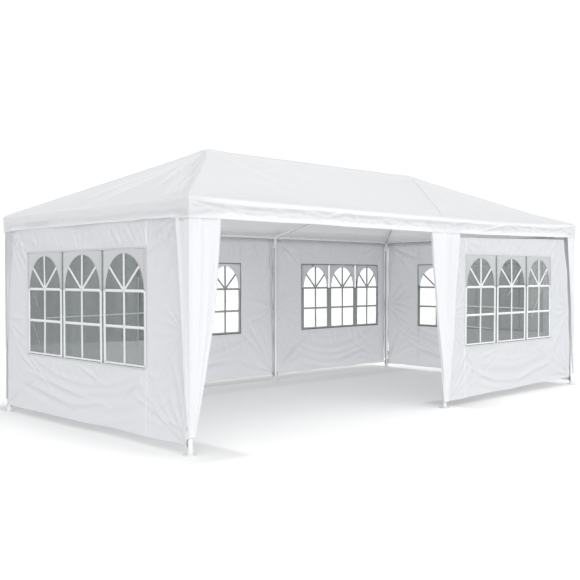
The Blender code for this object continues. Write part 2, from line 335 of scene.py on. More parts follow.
def cloth_finish(name, colour, weave, hem, glow):
    """Woven white sheet: strips over and under, soft crinkles and a hem stitch."""
    material, finish = new_material(name)
    flat = finish.place("UV")
    solid = finish.place("Object")
    cloud = finish.noise(solid, 1.7, 3.0)
    fleck = finish.noise(solid, 38.0, 2.0)
    crinkle = finish.noise(solid, 21.0, 4.0, 0.62)
    woven = finish.bands(flat, 'X', weave) * finish.bands(flat, 'Y', weave)
    edge = finish.node('ShaderNodeAttribute', {"attribute_name": "hem"}, {}, "Fac")
    stitch = (edge > hem * STITCH_START) * (edge < hem * STITCH_END)
    lap = edge < hem
    tone = cloud * 0.5 + fleck * 0.5
    plain = finish.mix(lap, finish.mix(tone, tinted(colour, CLOTH_MOTTLE), colour),
                       tinted(colour, LAP_LIGHTER))
    sewn = finish.mix(stitch * 0.5, plain, tinted(colour, THREAD_DARKER))
    height = crinkle * 0.9 + woven * 0.12 + lap * 0.35 - stitch * 0.3
    principled(finish, {
        "Base Color": sewn,
        "Roughness": tone * 0.16 + 0.44,
        "Normal": finish.bump(height, CLOTH_RELIEF, 0.55),
        "Specular IOR Level": 0.38,
    }, (1.0 - lap * LAP_SHADE) * glow)
    return material


def tape_finish(name, colour, roughness, glow=0.0):
    """Smooth welded tape and printed bars, with a faint mottle."""
    material, finish = new_material(name)
    solid = finish.place("Object")
    mottle = finish.noise(solid, 55.0, 3.0)
    soft = finish.noise(solid, 4.0, 2.0)
    principled(finish, {
        "Base Color": finish.mix(mottle * 0.4 + soft * 0.6, tinted(colour, 0.93), colour),
        "Roughness": mottle * 0.12 + roughness,
        "Normal": finish.bump(mottle, 0.0006, 0.4),
    }, glow)
    return material


# Creases pressed into the near films: the start and the end on the wall, and the width
FILM_CREASES = {
    "end_left": ((0.662, 0.961, -0.922, 1.054, 0.013), (0.93, 1.19, 0.825, 1.07, 0.012),
                 (0.93, 0.9, 0.8, 0.72, 0.01), (-0.83, 1.34, -0.822, 0.794, 0.014)),
    "front_right": ((0.642, 1.03, 1.813, 0.975, 0.014), (2.34, 1.42, 1.96, 0.86, 0.022),
                    (0.656, 0.816, 1.135, 0.774, 0.01), (1.66, 1.30, 1.44, 1.12, 0.012)),
}

# How light each wall's film is, painted lighter or darker for the light behind it, and how dense it
# is, against the look's own
FILM_PAINTED_TONES = {"end_left": (1.05, 1.0), "front_right": (0.6, 1.0), "far": (0.8, 0.79)}

# Where the painted light on the left film begins, standing in for the lit floor seen through it
# below the far hem: a height, less this much for each metre towards the back, and its colour
PAINTED_LIGHT_LINE = 0.77
PAINTED_LIGHT_SLOPE = 0.0709
PAINTED_LIGHT_COLOUR = (0.285, 0.31, 0.305)

# Heights and places between which the painted light on the near films comes or goes, in metres
ARCH_PAINTED_LIGHT = (1.18, 1.3)
LEFT_FRONT_PAINTED_LIGHT = (0.28, 0.35)
FOOT_PAINTED_LIGHT = (0.93, 1.02)
CORNER_PAINTED_LIGHT = (1.8, 2.0)
LEG_PAINTED_LIGHT = (1.15, 1.3)

# How light each wall's spandrels are against the look's own, painted lighter or darker for the
# light behind them
SPANDREL_PAINTED_TONES = {"end_left": 1.0, "front_right": 0.89, "back_left": 1.25, "back_right": 1.22,
               "end_right": 1.5}

# How far the light streaks in the film lean
FILM_SLANT = (0.5, 0.6, 0.0)


def film_painted_light(finish, solid, wall_name):
    """How much painted light a near film has, for the light seen through it: along its foot, in its
    arches and towards the far corner.
    """
    across, deep, high = (finish.axis(solid, name) for name in "XYZ")
    arch = finish.eased(high, *ARCH_PAINTED_LIGHT)
    if wall_name == "end_left":
        low = 1.0 - finish.eased(high + deep * PAINTED_LIGHT_SLOPE, PAINTED_LIGHT_LINE - 0.008, PAINTED_LIGHT_LINE + 0.004)
        return arch * 0.2 + low * (finish.eased(0.0 - deep, *LEFT_FRONT_PAINTED_LIGHT) * 0.55 + 0.4)
    low = 1.0 - finish.eased(high, *FOOT_PAINTED_LIGHT)
    corner = finish.eased(across, *CORNER_PAINTED_LIGHT)
    beside_leg = 1.0 - finish.eased(across, *LEG_PAINTED_LIGHT)
    return finish.clamped(arch * 0.1 + low * 0.12 + (1.0 - low) * beside_leg * 0.2
                               + corner * (0.55 - low * 0.3) + 0.36)


def film_finish(name, colour, cover, wall_name=None):
    """Clear flexible film: glossy, rippled and a little smoky, with painted light on the near
    films.
    """
    material, finish = new_material(name)
    solid = finish.place("Object")
    long_ripple = finish.noise(finish.stretched(solid, (5.0, 5.0, 2.0)), 1.0, 3.0, 0.55)
    haze = finish.noise(solid, 2.6, 4.0, 0.6)
    slanted = finish.stretched(solid, (9.0, 9.0, 1.3), FILM_SLANT)
    streak = finish.clamped(finish.noise(slanted, 1.0, 3.0) * 4.0 - 1.75)
    tint = finish.mix(haze * streak * 1.3, colour, tinted(colour, 2.1))
    # Near films get painted light for the lit floor and backdrop seen through them
    if wall_name:
        tint = finish.mix(film_painted_light(finish, solid, wall_name), tint, PAINTED_LIGHT_COLOUR)
    principled(finish, {
        "Base Color": tint,
        "Roughness": haze * 0.14 + 0.07,
        "Alpha": haze * 0.1 + (cover - 0.05),
        "Normal": finish.bump(long_ripple, 0.03, 0.35),
        "IOR": 1.46,
    })
    return material


# The side on which a coat carries painted shade: underneath a rail, and away from the light on a
# leg
RAIL_SHADED_SIDE = (-0.2, 0.1, -0.97)
LEG_SHADED_SIDE = (-0.9, 0.44, 0.0)


def coat_finish(name, colour, roughness, painted_shade_share=0.0, side=RAIL_SHADED_SIDE):
    """Powder coat on steel: fine orange peel, rubbed duller in places, and painted shade on one
    side.
    """
    material, finish = new_material(name)
    solid = finish.place("Object")
    peel = finish.noise(solid, 420.0, 2.0)
    rub = finish.noise(solid, 14.0, 5.0, 0.65)
    # Painted shade: the base colour darkens on the side that faces the given way
    under = finish.clamped(finish.facing(finish.place("Normal"), side) * 2.8 - 1.1) * painted_shade_share
    rubbed = finish.mix(rub, tinted(colour, 0.86), colour)
    principled(finish, {
        "Base Color": finish.mix(under, rubbed, tinted(colour, 0.36)),
        "Roughness": rub * 0.2 + (roughness - 0.1),
        "Normal": finish.bump(peel, 0.0004, 0.35),
    })
    return material


def between(start, end, part):
    """The place part of the way from a start to an end, each given by two numbers."""
    return start[0] + (end[0] - start[0]) * part, start[1] + (end[1] - start[1]) * part


def smooth(value):
    """An eased step from 0 to 1."""
    value = np.clip(value, 0.0, 1.0)
    return value * value * (3.0 - 2.0 * value)


class Creases:
    """The soft folds of one sheet, in the sheet's own flat metres."""

    def __init__(self, seed, depth):
        self.random = random.Random(seed)
        self.depth = depth
        self.folds = []

    def fold(self, start, end, width, height, bow=0.0, flare=0.0):
        """One straight or bowed fold. A flare widens it towards its end."""
        self.folds.append((start, end, width, height * self.depth, bow, flare))

    def fan(self, hub, aim, spread, count, reach, width, height):
        """Folds that run out from a point where the cloth is held."""
        pick = self.random.uniform
        for number in range(count):
            turn = aim + spread * ((number + 0.5) / count - 0.5) + pick(-4, 4)
            angle = math.radians(turn)
            length = reach * pick(0.5, 1.0)
            end = (hub[0] + length * math.cos(angle), hub[1] + length * math.sin(angle))
            self.fold(hub, end, width * pick(0.7, 1.3), height * pick(0.5, 1.0),
                      bow=length * pick(-0.06, 0.06), flare=0.7)

    def row(self, start, end, step, run, width, height):
        """Short folds side by side along a line, each running the same way."""
        pick = self.random.uniform
        length = math.dist(start, end)
        count = max(1, int(length / step))
        for number in range(count):
            part = (number + pick(0.1, 0.9)) / count
            u, v = between(start, end, part)
            reach = pick(0.6, 1.15)
            self.fold((u, v), (u + run[0] * reach + pick(-0.02, 0.02), v + run[1] * reach),
                      width * pick(0.7, 1.4), height * pick(0.3, 1.0),
                      bow=pick(-0.012, 0.012))

    def swags(self, left, right, drop, count, step, width, height):
        """Nested hanging arcs between two held points."""
        pick = self.random.uniform
        for number in range(count):
            lower = step * number
            self.fold((left[0], left[1] - lower), (right[0], right[1] - lower * pick(0.8, 1.1)),
                      width * pick(0.8, 1.3), height * pick(0.55, 1.0),
                      bow=-drop * pick(0.9, 1.1))

    def lift(self, u, v):
        """How far the folds raise the sheet at each point."""
        total = np.zeros_like(u)
        for start, end, width, height, bow, flare in self.folds:
            du, dv = end[0] - start[0], end[1] - start[1]
            length = math.hypot(du, dv)
            along = ((u - start[0]) * du + (v - start[1]) * dv) / length ** 2
            across = ((v - start[1]) * du - (u - start[0]) * dv) / length
            held = np.clip(along, 0.0, 1.0)
            across = across - bow * 4.0 * held * (1.0 - held)
            reach = width * (1.0 + flare * (2.0 * held - 1.0))
            fade = np.clip(4.0 * along * (1.0 - along), 0.0, 1.0) ** 0.8
            crest = np.exp(-(across / reach) ** 2)
            trough = np.exp(-(across / (2.1 * reach)) ** 2)
            total += height * fade * (crest - 0.45 * trough)
        return total


DRIFT_WAVES = 7


def drift(seed, u, v, size):
    """A slow wander between about -1 and 1 over a sheet."""
    pick = random.Random(seed)
    total = np.zeros_like(u)
    for _ in range(DRIFT_WAVES):
        angle = pick.uniform(0, math.pi)
        rate = 2 * math.pi / (size * pick.uniform(0.6, 1.8))
        phase = pick.uniform(0, 2 * math.pi)
        total += np.sin((u * math.cos(angle) + v * math.sin(angle)) * rate + phase)
    return total / math.sqrt(DRIFT_WAVES)


WELD_DISTANCE = 0.00002


class Cutting:
    """Cloth, film or tape cut as grids of quads and gathered into one mesh."""

    def __init__(self):
        self.points = []
        self.quads = []
        self.uvs = []
        self.hems = []
        self.count = 0

    def add(self, points, u, v, hem=None, keep=None, flip=False):
        """A grid of points, rows by columns, with its flat metres u and v."""
        rows, columns = points.shape[:2]
        index = np.arange(rows * columns).reshape(rows, columns) + self.count
        corners = [index[:-1, :-1], index[:-1, 1:], index[1:, 1:], index[1:, :-1]]
        if flip:
            corners.reverse()
        quads = np.stack(corners, axis=-1).reshape(-1, 4)
        if keep is not None:
            quads = quads[keep.reshape(-1)]
        self.points.append(points.reshape(-1, 3))
        self.quads.append(quads)
        self.uvs.append(np.stack([u, v], axis=-1).reshape(-1, 2))
        self.hems.append((np.full(u.shape, 1.0) if hem is None else hem).reshape(-1))
        self.count += rows * columns

    def sew(self, name, material, thickness=0.0, offset=0.0):
        """One object from the gathered grids, welded where they meet."""
        points = np.concatenate(self.points)
        quads = np.concatenate(self.quads)
        uvs = np.concatenate(self.uvs)
        mesh = bpy.data.meshes.new(name)
        mesh.from_pydata(points.tolist(), [], quads.tolist())
        layer = mesh.uv_layers.new(name="UVMap")
        order = np.zeros(len(mesh.loops), dtype=np.int32)
        mesh.loops.foreach_get("vertex_index", order)
        layer.data.foreach_set("uv", uvs[order].reshape(-1).astype(np.float32))
        hem = mesh.attributes.new("hem", 'FLOAT', 'POINT')
        hem.data.foreach_set("value", np.concatenate(self.hems).astype(np.float32))
        shape = bmesh.new()
        shape.from_mesh(mesh)
        bmesh.ops.remove_doubles(shape, verts=shape.verts[:], dist=WELD_DISTANCE)
        loose = [corner for corner in shape.verts if not corner.link_faces]
        bmesh.ops.delete(shape, geom=loose, context='VERTS')
        for face in shape.faces:
            face.smooth = True
        shape.to_mesh(mesh)
        shape.free()
        mesh.materials.append(material)
        piece = add_object(name, mesh)
        if thickness:
            step = piece.modifiers.new("thickness", 'SOLIDIFY')
            step.thickness = thickness
            step.offset = offset
            bake_modifiers(piece)
        return piece


def add_object(name, data):
    """An object with its data, shown in the scene."""
    item = bpy.data.objects.new(name, data)
    bpy.context.scene.collection.objects.link(item)
    return item


def finished_mesh(name, shape):
    """A mesh from a bmesh, which is freed."""
    mesh = bpy.data.meshes.new(name)
    shape.to_mesh(mesh)
    shape.free()
    return mesh


def bake_modifiers(piece):
    """Apply an object's modifiers to its mesh."""
    graph = bpy.context.evaluated_depsgraph_get()
    graph.update()
    done = bpy.data.meshes.new_from_object(piece.evaluated_get(graph),
                                           preserve_all_data_layers=True, depsgraph=graph)
    piece.modifiers.clear()
    piece.data = done


def settle(piece, slot, *nodes):
    """Put a piece on the tent's body, in place of frame nodes. The slot is not used."""
    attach(piece, BODY)
    if nodes:
        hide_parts(*nodes)
    return piece


def spaced(low, high, step, *marks):
    """Grid lines about one step apart, with lines at the marks."""
    stops = sorted({low, high, *(mark for mark in marks if low < mark < high)})
    lines = [np.linspace(first, second, max(2, int(round((second - first) / step)) + 1))[:-1]
             for first, second in zip(stops, stops[1:])]
    return np.concatenate(lines + [np.array([high])])


def roof_planes(x, y):
    """Heights of the four roof planes over a point in plan."""
    long_slope = (PEAK - EAVE) / HALF_WIDTH
    end_slope = (PEAK - EAVE) / (HALF_LENGTH - PEAK_X)
    return (EAVE + (HALF_WIDTH - np.abs(y)) * long_slope,
            EAVE + (HALF_LENGTH - np.abs(x)) * end_slope)


def line_part(x, y, start, end):
    """How far along a straight line points lie in plan, from 0 to 1."""
    dx, dy = end[0] - start[0], end[1] - start[1]
    return np.clip(((x - start[0]) * dx + (y - start[1]) * dy) / (dx * dx + dy * dy), 0, 1)


def line_distance(x, y, start, end):
    """Distance in plan from points to a straight line between two points."""
    part = line_part(x, y, start, end)
    return np.hypot(x - start[0] - part * (end[0] - start[0]),
                    y - start[1] - part * (end[1] - start[1]))


def mid_leg_x(row):
    """Where a long side's middle leg stands."""
    low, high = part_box(f"leg_{row}_mid")
    return (low.x + high.x) / 2


# Creases of an end slope and of a long slope, in plan: the start's x and y, the end's x and y,
# width, height, bow and flare.
# The end slope's are for positive x, the long slope's for positive y.
END_CREASES = (
    (1.66, 0.0, 2.66, -0.46, 0.04, 0.015, 0.02, 0.3),
    (1.68, -0.03, 2.59, -0.49, 0.018, 0.012, 0.03, 0.3),
    (1.67, 0.09, 2.9, 0.16, 0.07, 0.018, -0.02, 0.4),
    (1.67, 0.03, 2.9, 0.07, 0.018, 0.006, -0.02, 0.3),
    (1.8, -0.22, 2.9, -1.02, 0.03, -0.010, 0.0, 0.3),
    (2.2, -0.56, 2.92, -1.06, 0.02, -0.007, 0.02, 0.2),
    (1.8, -0.04, 2.9, -1.23, 0.07, -0.012, 0.0, 0.4),
    (2.56, -0.93, 2.89, -1.17, 0.016, 0.007, 0.0, 0.2),
    (2.37, -0.77, 2.86, -1.05, 0.018, 0.008, 0.0, 0.2),
    (1.68, 0.05, 2.86, 0.62, 0.035, 0.009, 0.02, 0.4),
)
LONG_CREASES = (
    (-1.45, 0.03, -0.6, 0.57, 0.022, 0.010, 0.0, 0.4),
    (-0.75, 0.42, -0.1, 0.98, 0.02, 0.005, 0.0, 0.3),
    (-1.52, 0.1, -1.34, 1.05, 0.05, -0.012, 0.0, 0.4),
    (-1.9, 0.72, -1.5, 1.0, 0.03, 0.007, 0.0, 0.3),
    (-1.44, 0.6, -1.5, 1.2, 0.02, 0.008, 0.0, 0.3),
    (1.5, 0.1, 1.1, 1.1, 0.03, 0.007, 0.03, 0.5),
)

# How much higher the listed creases stand than their heights say
END_RELIEF = 2.3
LONG_RELIEF = 2.6

# How far along the eave the front middle seam starts from its leg
SEAM_SHIFT = -0.07

# How far the front eave stands above its straight line, and its hem above the plain drop
FRONT_PLACES = (-3.0, -1.5, -0.5, 0.5, 1.3, 2.2, 3.0)
EAVE_LIFTS = (0.0, -0.004, -0.008, -0.008, -0.010, 0.008, 0.034)
HEM_LIFTS = (-0.004, 0.005, 0.003, 0.007, 0.016, 0.012, -0.004)


def front_share(y):
    """1 at the front eave, fading to 0 half a metre behind it."""
    return smooth((-y - 1.0) / 0.5)


def eave_lift(x, y):
    """How far the front eave stands above its straight line."""
    return np.interp(x, FRONT_PLACES, EAVE_LIFTS) * front_share(y)


class Roof:
    """The canopy's height over plan, with its sag and its folds."""

    # Rounding of the hips, the ridge's own width, and the flat margin beside every seam
    hip_round = 0.003
    ridge_width = 0.02
    margin = 0.07

    # Depth of the sag between the seams, and how far from them it is reached
    sag = 0.03
    sag_reach = 0.2

    # A slow wander of the cloth, and the caps over the two peaks
    wander = 0.0025
    wander_size = 0.7
    cap_height = 0.010
    cap_radius = 0.16

    # The near hip's crease leans this far, towards this side, where the planes part this steeply
    hip_lean = 0.03
    hip_side = (0.736, -0.677)
    hip_steepness = 0.633

    def __init__(self, depth):
        self.depth = depth
        self.lines = []
        for sign in (-1, 1):
            for side in (-1, 1):
                self.lines.append(((sign * HALF_LENGTH, side * HALF_WIDTH), (sign * PEAK_X, 0)))
        self.lines.append(((-PEAK_X, 0), (PEAK_X, 0)))
        for row, side in (("front", -1), ("back", 1)):
            foot = mid_leg_x(row) + (SEAM_SHIFT if row == "front" else 0.0)
            self.lines.append(((foot, side * HALF_WIDTH), (PEAK_X, 0)))
        self.folds = {
            "left": self.end_folds(11, -1),
            "right": self.end_folds(12, 1),
            "front": self.long_folds(13, -1),
            "back": self.long_folds(14, 1),
        }

    def end_folds(self, seed, end):
        """Strong folds from the peak towards the eave of an end slope."""
        creases = Creases(seed, self.depth)
        pick = creases.random.uniform
        for x, y, foot_x, foot_y, width, height, bow, flare in END_CREASES:
            creases.fold((end * x, y), (end * foot_x, foot_y), width, height * END_RELIEF,
                         end * bow, flare)
        for number in range(7):
            y = -HALF_WIDTH + 0.25 + number * 0.42 + pick(-0.08, 0.08)
            reach = pick(0.7, 0.98)
            foot = (PEAK_X + (HALF_LENGTH - PEAK_X) * reach, y * reach)
            creases.fold((end * (PEAK_X + 0.1), y * 0.07), (end * foot[0], foot[1]),
                         0.034 * pick(0.7, 1.4), 0.007 * pick(0.4, 1.0), bow=pick(-0.05, 0.05),
                         flare=0.55)
        for side in (-1, 1):
            for part, off in ((0.3, 0.1), (0.45, 0.16), (0.56, 0.08), (0.68, 0.17), (0.78, 0.1)):
                x = PEAK_X + (HALF_LENGTH - PEAK_X) * part + off * 0.74
                y = HALF_WIDTH * part - off * 0.68
                run = pick(0.3, 0.48)
                creases.fold((end * x, side * y), (end * (x + run * 0.8), side * (y + run * 0.6)),
                             0.018 * pick(0.8, 1.3), 0.009 * pick(0.6, 1.0),
                             bow=pick(-0.02, 0.02), flare=0.3)
        return creases

    def long_folds(self, seed, side):
        """Long shallow folds down a front or back slope."""
        creases = Creases(seed, self.depth)
        pick = creases.random.uniform
        for x, y, foot_x, foot_y, width, height, bow, flare in LONG_CREASES:
            creases.fold((x, side * y), (foot_x, side * foot_y), width, height * LONG_RELIEF,
                         bow, flare)
        for number in range(6):
            end_x = -1.0 + number * 0.5 + pick(-0.12, 0.12)
            creases.fold((-PEAK_X + 0.25, side * 0.05),
                         (end_x, side * HALF_WIDTH * pick(0.6, 0.93)),
                         0.034 * pick(0.8, 1.4), 0.0035 * pick(0.4, 1.0),
                         bow=pick(-0.06, 0.06), flare=0.5)
        for number in range(4):
            end_x = 1.9 + number * 0.28
            creases.fold((PEAK_X - 0.02, side * 0.05),
                         (end_x, side * HALF_WIDTH * pick(0.7, 0.95)),
                         0.024 * pick(0.8, 1.3), 0.005 * pick(0.5, 1.0),
                         bow=pick(-0.04, 0.04), flare=0.5)
        for x in (-HALF_LENGTH + 0.1, HALF_LENGTH - 0.1):
            inward = math.degrees(math.atan2(-side, -x))
            creases.fan((x, side * (HALF_WIDTH - 0.06)), inward, 60, 4, 0.9, 0.022, 0.005)
        creases.row((-2.5, side * (HALF_WIDTH - 0.03)), (2.5, side * (HALF_WIDTH - 0.03)), 0.16,
                    (0.05, -side * 0.16), 0.02, 0.0025)
        return creases

    def near_hip(self, x, y):
        """How far the near hip's crease leans onto the front slope, beside its straight line."""
        part = line_part(x, y, *self.lines[0])
        return self.hip_lean * smooth(part / 0.6) * smooth((1 - part) / 0.25)

    def height(self, x, y):
        """Height of the canopy over points in plan."""
        long_plane, end_plane = roof_planes(x, y)
        lean = self.near_hip(x, y)
        near = line_distance(x, y, *self.lines[0])
        long_plane = long_plane + self.hip_steepness * lean * np.exp(-(near / 0.3) ** 2)
        blend = self.hip_round
        lowest = np.minimum(long_plane, end_plane)
        rounded = lowest - blend * np.log1p(np.exp(-np.abs(long_plane - end_plane) / blend))
        ridge = blend * 0.4 * np.exp(-(np.abs(y) / self.ridge_width) ** 2) \
            * (np.abs(x) < PEAK_X)
        reach = np.minimum(HALF_WIDTH - np.abs(y), HALF_LENGTH - np.abs(x))
        reach = np.minimum(reach, line_distance(x - self.hip_side[0] * lean,
                                                y - self.hip_side[1] * lean, *self.lines[0]))
        for start, end in self.lines[1:]:
            reach = np.minimum(reach, line_distance(x, y, start, end))
        sag = self.sag * (1.0 - np.exp(-reach / self.sag_reach))
        free = smooth(reach / self.margin)
        on_end = end_plane < long_plane
        folds = np.where(on_end,
                         np.where(x < 0, self.folds["left"].lift(x, y),
                                  self.folds["right"].lift(x, y)),
                         np.where(y < 0, self.folds["front"].lift(x, y),
                                  self.folds["back"].lift(x, y)))
        wander = self.wander * self.depth * drift(15, x, y, self.wander_size)
        peaks = self.cap_height \
            * np.exp(-(np.hypot(np.abs(x) - PEAK_X, y) / self.cap_radius) ** 2)
        return rounded - ridge - sag + (folds + wander) * free + peaks + eave_lift(x, y)

    def point(self, x, y):
        """Places on the canopy over points in plan."""
        return np.stack([x, y, self.height(x, y)], axis=-1)


# Each side of the canopy, going round: its corners in plan and its ridge ends
CANOPY_SIDES = {
    "front": ((-HALF_LENGTH, -HALF_WIDTH), (HALF_LENGTH, -HALF_WIDTH), (-PEAK_X, 0), (PEAK_X, 0)),
    "right": ((HALF_LENGTH, -HALF_WIDTH), (HALF_LENGTH, HALF_WIDTH), (PEAK_X, 0), (PEAK_X, 0)),
    "back": ((HALF_LENGTH, HALF_WIDTH), (-HALF_LENGTH, HALF_WIDTH), (PEAK_X, 0), (-PEAK_X, 0)),
    "left": ((-HALF_LENGTH, HALF_WIDTH), (-HALF_LENGTH, -HALF_WIDTH), (-PEAK_X, 0),
             (-PEAK_X, 0)),
}

# The rounded eave: how far from the corner it reaches, and how much it cuts there
EAVE_ROUND = 0.01
EAVE_CUT = 0.0055

# How far a valance stands out, at shares of its drop from the eave down
LONG_SHARES = (0.0, 0.2, 0.28, 0.46, 0.66, 0.74, 1.0)
LONG_STANDS = (0.0, 0.009, 0.0085, 0.001, 0.001, 0.003, 0.016)
END_SHARES = (0.0, 0.05, 0.5, 0.74, 0.82, 1.0)
END_STANDS = (0.0, 0.006, 0.004, 0.002, 0.003, 0.011)
VALANCE_LINES = (0.0, 0.03, 0.08, 0.14, 0.19, 0.22, 0.25, 0.29, 0.35, 0.42, 0.5, 0.58, 0.65, 0.7,
                 0.745, 0.79, 0.84, 0.92, 1.0)

# Folds of the front valance: the start's place along it and share of its drop, the end's place and
# share, then width and height
VALANCE_FOLDS = (
    (1.79, 0.16, 1.42, 0.66, 0.013, 0.010), (1.79, 0.16, 1.94, 0.56, 0.012, 0.009),
    (2.24, 0.32, 2.47, 0.8, 0.012, 0.008), (2.62, 0.3, 2.5, 0.75, 0.012, 0.007),
    (4.49, 0.1, 3.83, 0.86, 0.014, 0.012), (4.49, 0.1, 4.69, 0.58, 0.012, 0.011),
    (4.83, 0.1, 5.1, 0.6, 0.013, 0.011), (4.83, 0.1, 4.72, 0.5, 0.011, 0.008),
    (5.96, 0.05, 5.5, 0.8, 0.013, 0.011), (5.97, 0.2, 5.74, 0.95, 0.012, 0.009),
    (3.42, 0.3, 3.75, 0.12, 0.012, 0.008), (3.48, 0.62, 3.9, 0.4, 0.012, 0.008),
    (2.98, 0.2, 3.01, 0.8, 0.011, 0.009), (3.08, 0.25, 3.1, 0.86, 0.011, -0.008),
    (3.18, 0.2, 3.17, 0.82, 0.011, 0.009), (3.28, 0.22, 3.26, 0.85, 0.011, -0.008),
    (3.38, 0.2, 3.35, 0.8, 0.011, 0.008),
)

# How much of its upper band's stand the front valance keeps, at places along it
EAVE_BAND_PLACES = (0.0, 3.1, 4.0, 6.06)
EAVE_BAND = (1.0, 1.0, 0.45, 0.4)

# Grid lines up a slope, as shares of it, and the number of columns of each side
SLOPE_LINES = np.concatenate([np.array([0, 0.004, 0.008, 0.013, 0.019]),
                              np.linspace(0.028, 1, 76)])
CANOPY_COLUMNS = {"front": 380, "right": 150, "back": 200, "left": 250}


def hem_lift(x, y):
    """How far the valance's hem stands above its plain drop, at a place on the eave."""
    front = np.interp(x, FRONT_PLACES, HEM_LIFTS) * front_share(y)
    return front + 0.009 * smooth((-2.9 - x) / 0.1) * smooth((HALF_WIDTH - np.abs(y)) / 0.3)


def hem_height(x, y):
    """Height of the valance's hem at a place on the front or back eave."""
    return VALANCE_BOTTOM + eave_lift(x, y) + hem_lift(x, y)


def eave_drop(distance):
    """How much the rounded eave cuts the corner, at a distance from it."""
    return EAVE_CUT * np.exp(-(distance / EAVE_ROUND) ** 2)


# Puckers that run inward from each end of a valance: the share of its drop where one starts, how
# far it reaches, the share where it ends, width, height and bow
END_PUCKERS = (
    (0.2, 0.42, 0.46, 0.013, -0.009, 0.006), (0.24, 0.24, 0.56, 0.009, 0.006, 0.0),
    (0.5, 0.2, 0.42, 0.009, -0.006, 0.0), (0.86, 0.26, 0.62, 0.01, -0.007, 0.0),
)


def valance_creases(seed, length, depth):
    """Lens-shaped puckers drawn in between the bands of a valance."""
    creases = Creases(seed, depth)
    pick = creases.random.uniform
    drop = EAVE - VALANCE_BOTTOM
    for end, way in ((0, 1), (length, -1)):
        for start_share, reach, end_share, width, height, bow in END_PUCKERS:
            creases.fold((end + way * 0.02, drop * start_share),
                         (end + way * reach, drop * end_share), width, height, way * bow)
    place = 0.3
    while place < length - 0.45:
        run = pick(0.16, 0.46)
        rise = pick(-0.035, 0.05)
        middle = drop * pick(0.34, 0.62)
        creases.fold((place, middle - rise / 2), (place + run, middle + rise / 2),
                     pick(0.011, 0.02), -pick(0.005, 0.010), bow=pick(-0.012, 0.012))
        place += run * pick(0.3, 0.7)
    creases.row((0.3, drop * 0.3), (length - 0.3, drop * 0.3), 0.13, (0.07, drop * 0.42),
                0.011, 0.008)
    creases.row((0.3, drop * 0.78), (length - 0.3, drop * 0.78), 0.19, (-0.12, -drop * 0.32),
                0.01, 0.007)
    return creases


def canopy_slope(cutting, roof, name, columns):
    """One roof slope, cut from its eave to its ridge. Returns the heights of its eave."""
    first, second, ridge_first, ridge_second = CANOPY_SIDES[name]
    t, across = np.meshgrid(SLOPE_LINES, columns, indexing='ij')
    x, y = between(between(first, second, across), between(ridge_first, ridge_second, across), t)
    points = roof.point(x, y)
    slope = math.hypot(math.dist(first, ridge_first) * 0.75, PEAK - EAVE)
    points[..., 2] -= eave_drop(t * slope)
    cutting.add(points, across * math.dist(first, second), t * slope)
    return points[0, :, 2]


def valance(cutting, name, seed, rim, columns, look):
    """One side's valance, hung from the eave's heights, with its hem and its puckers."""
    first, second = CANOPY_SIDES[name][:2]
    length = math.dist(first, second)
    drop = EAVE - VALANCE_BOTTOM
    v, across = np.meshgrid(np.array(VALANCE_LINES) * drop, columns, indexing='ij')
    along = across * length
    creases = valance_creases(seed, length, look.fold_depth * (1.85 if name in ROWS else 0.45))
    if name == "front":
        for start, start_share, end, end_share, width, height in VALANCE_FOLDS:
            creases.fold((start, start_share * drop), (end, end_share * drop), width, height)
    corner = np.minimum(along, length - along)
    eave_x, eave_y = between(first, second, across)
    free = smooth(corner / 0.03) * smooth(v / 0.03) * smooth((drop - v) / 0.04 + 0.1)
    puff = creases.lift(along, v) * free
    uneven = 0.045 * drift(seed + 60, along, v * 0, 0.55) * smooth(corner / 0.2)
    share = v / drop + uneven * np.sin(np.pi * v / drop)
    flare = np.interp(share, END_SHARES, END_STANDS)
    covered = smooth((0.2 - corner) / 0.05)
    waver = drift(seed + 50, along, v * 0, 0.3)
    hem = (drop - v) / (0.010 + 0.003 * waver * smooth(corner / 0.1)
                        + 0.022 * np.exp(-((corner - 0.2) / 0.09) ** 2))
    if name in ROWS:
        own = np.interp(share, LONG_SHARES, LONG_STANDS)
        if name == "front":
            band_share = np.interp(along, EAVE_BAND_PLACES, EAVE_BAND)
            own = own * (band_share + (1 - band_share) * smooth((share - 0.5) / 0.2))
        flare = flare + (own - flare) * smooth(corner / 0.12)
        low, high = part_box(f"leg_cover_{name}_mid")
        beside = np.maximum(low.x - eave_x, eave_x - high.x)
        covered = np.maximum(smooth((0.34 - corner) / 0.05), smooth((0.02 - beside) / 0.05))
        band = 0.05 * smooth(corner / 0.27) + 0.004 + 0.007 * waver * smooth(corner / 0.3)
        hem = np.minimum((drop - v) / band, v / (0.044 * smooth(corner / 0.5) + 0.003))
    flare = flare * (1.0 - 0.7 * covered * smooth((share - 0.6) / 0.2))
    out_x, out_y = (second[1] - first[1]) / length, -(second[0] - first[0]) / length
    x = eave_x * (1 + flare / HALF_LENGTH) + out_x * puff
    y = eave_y * (1 + flare / HALF_WIDTH) + out_y * puff
    wave = 0.0022 * look.fold_depth * drift(seed + 40, along, v * 0, 0.5) \
        * smooth(corner / 0.2) + hem_lift(eave_x, eave_y)
    sheet = np.stack([x, y, rim - (v - wave * v / drop)], axis=-1)
    cutting.add(sheet, along, -v, hem=hem * look.hem, flip=True)


TAPE_CLEARANCE = 0.0004


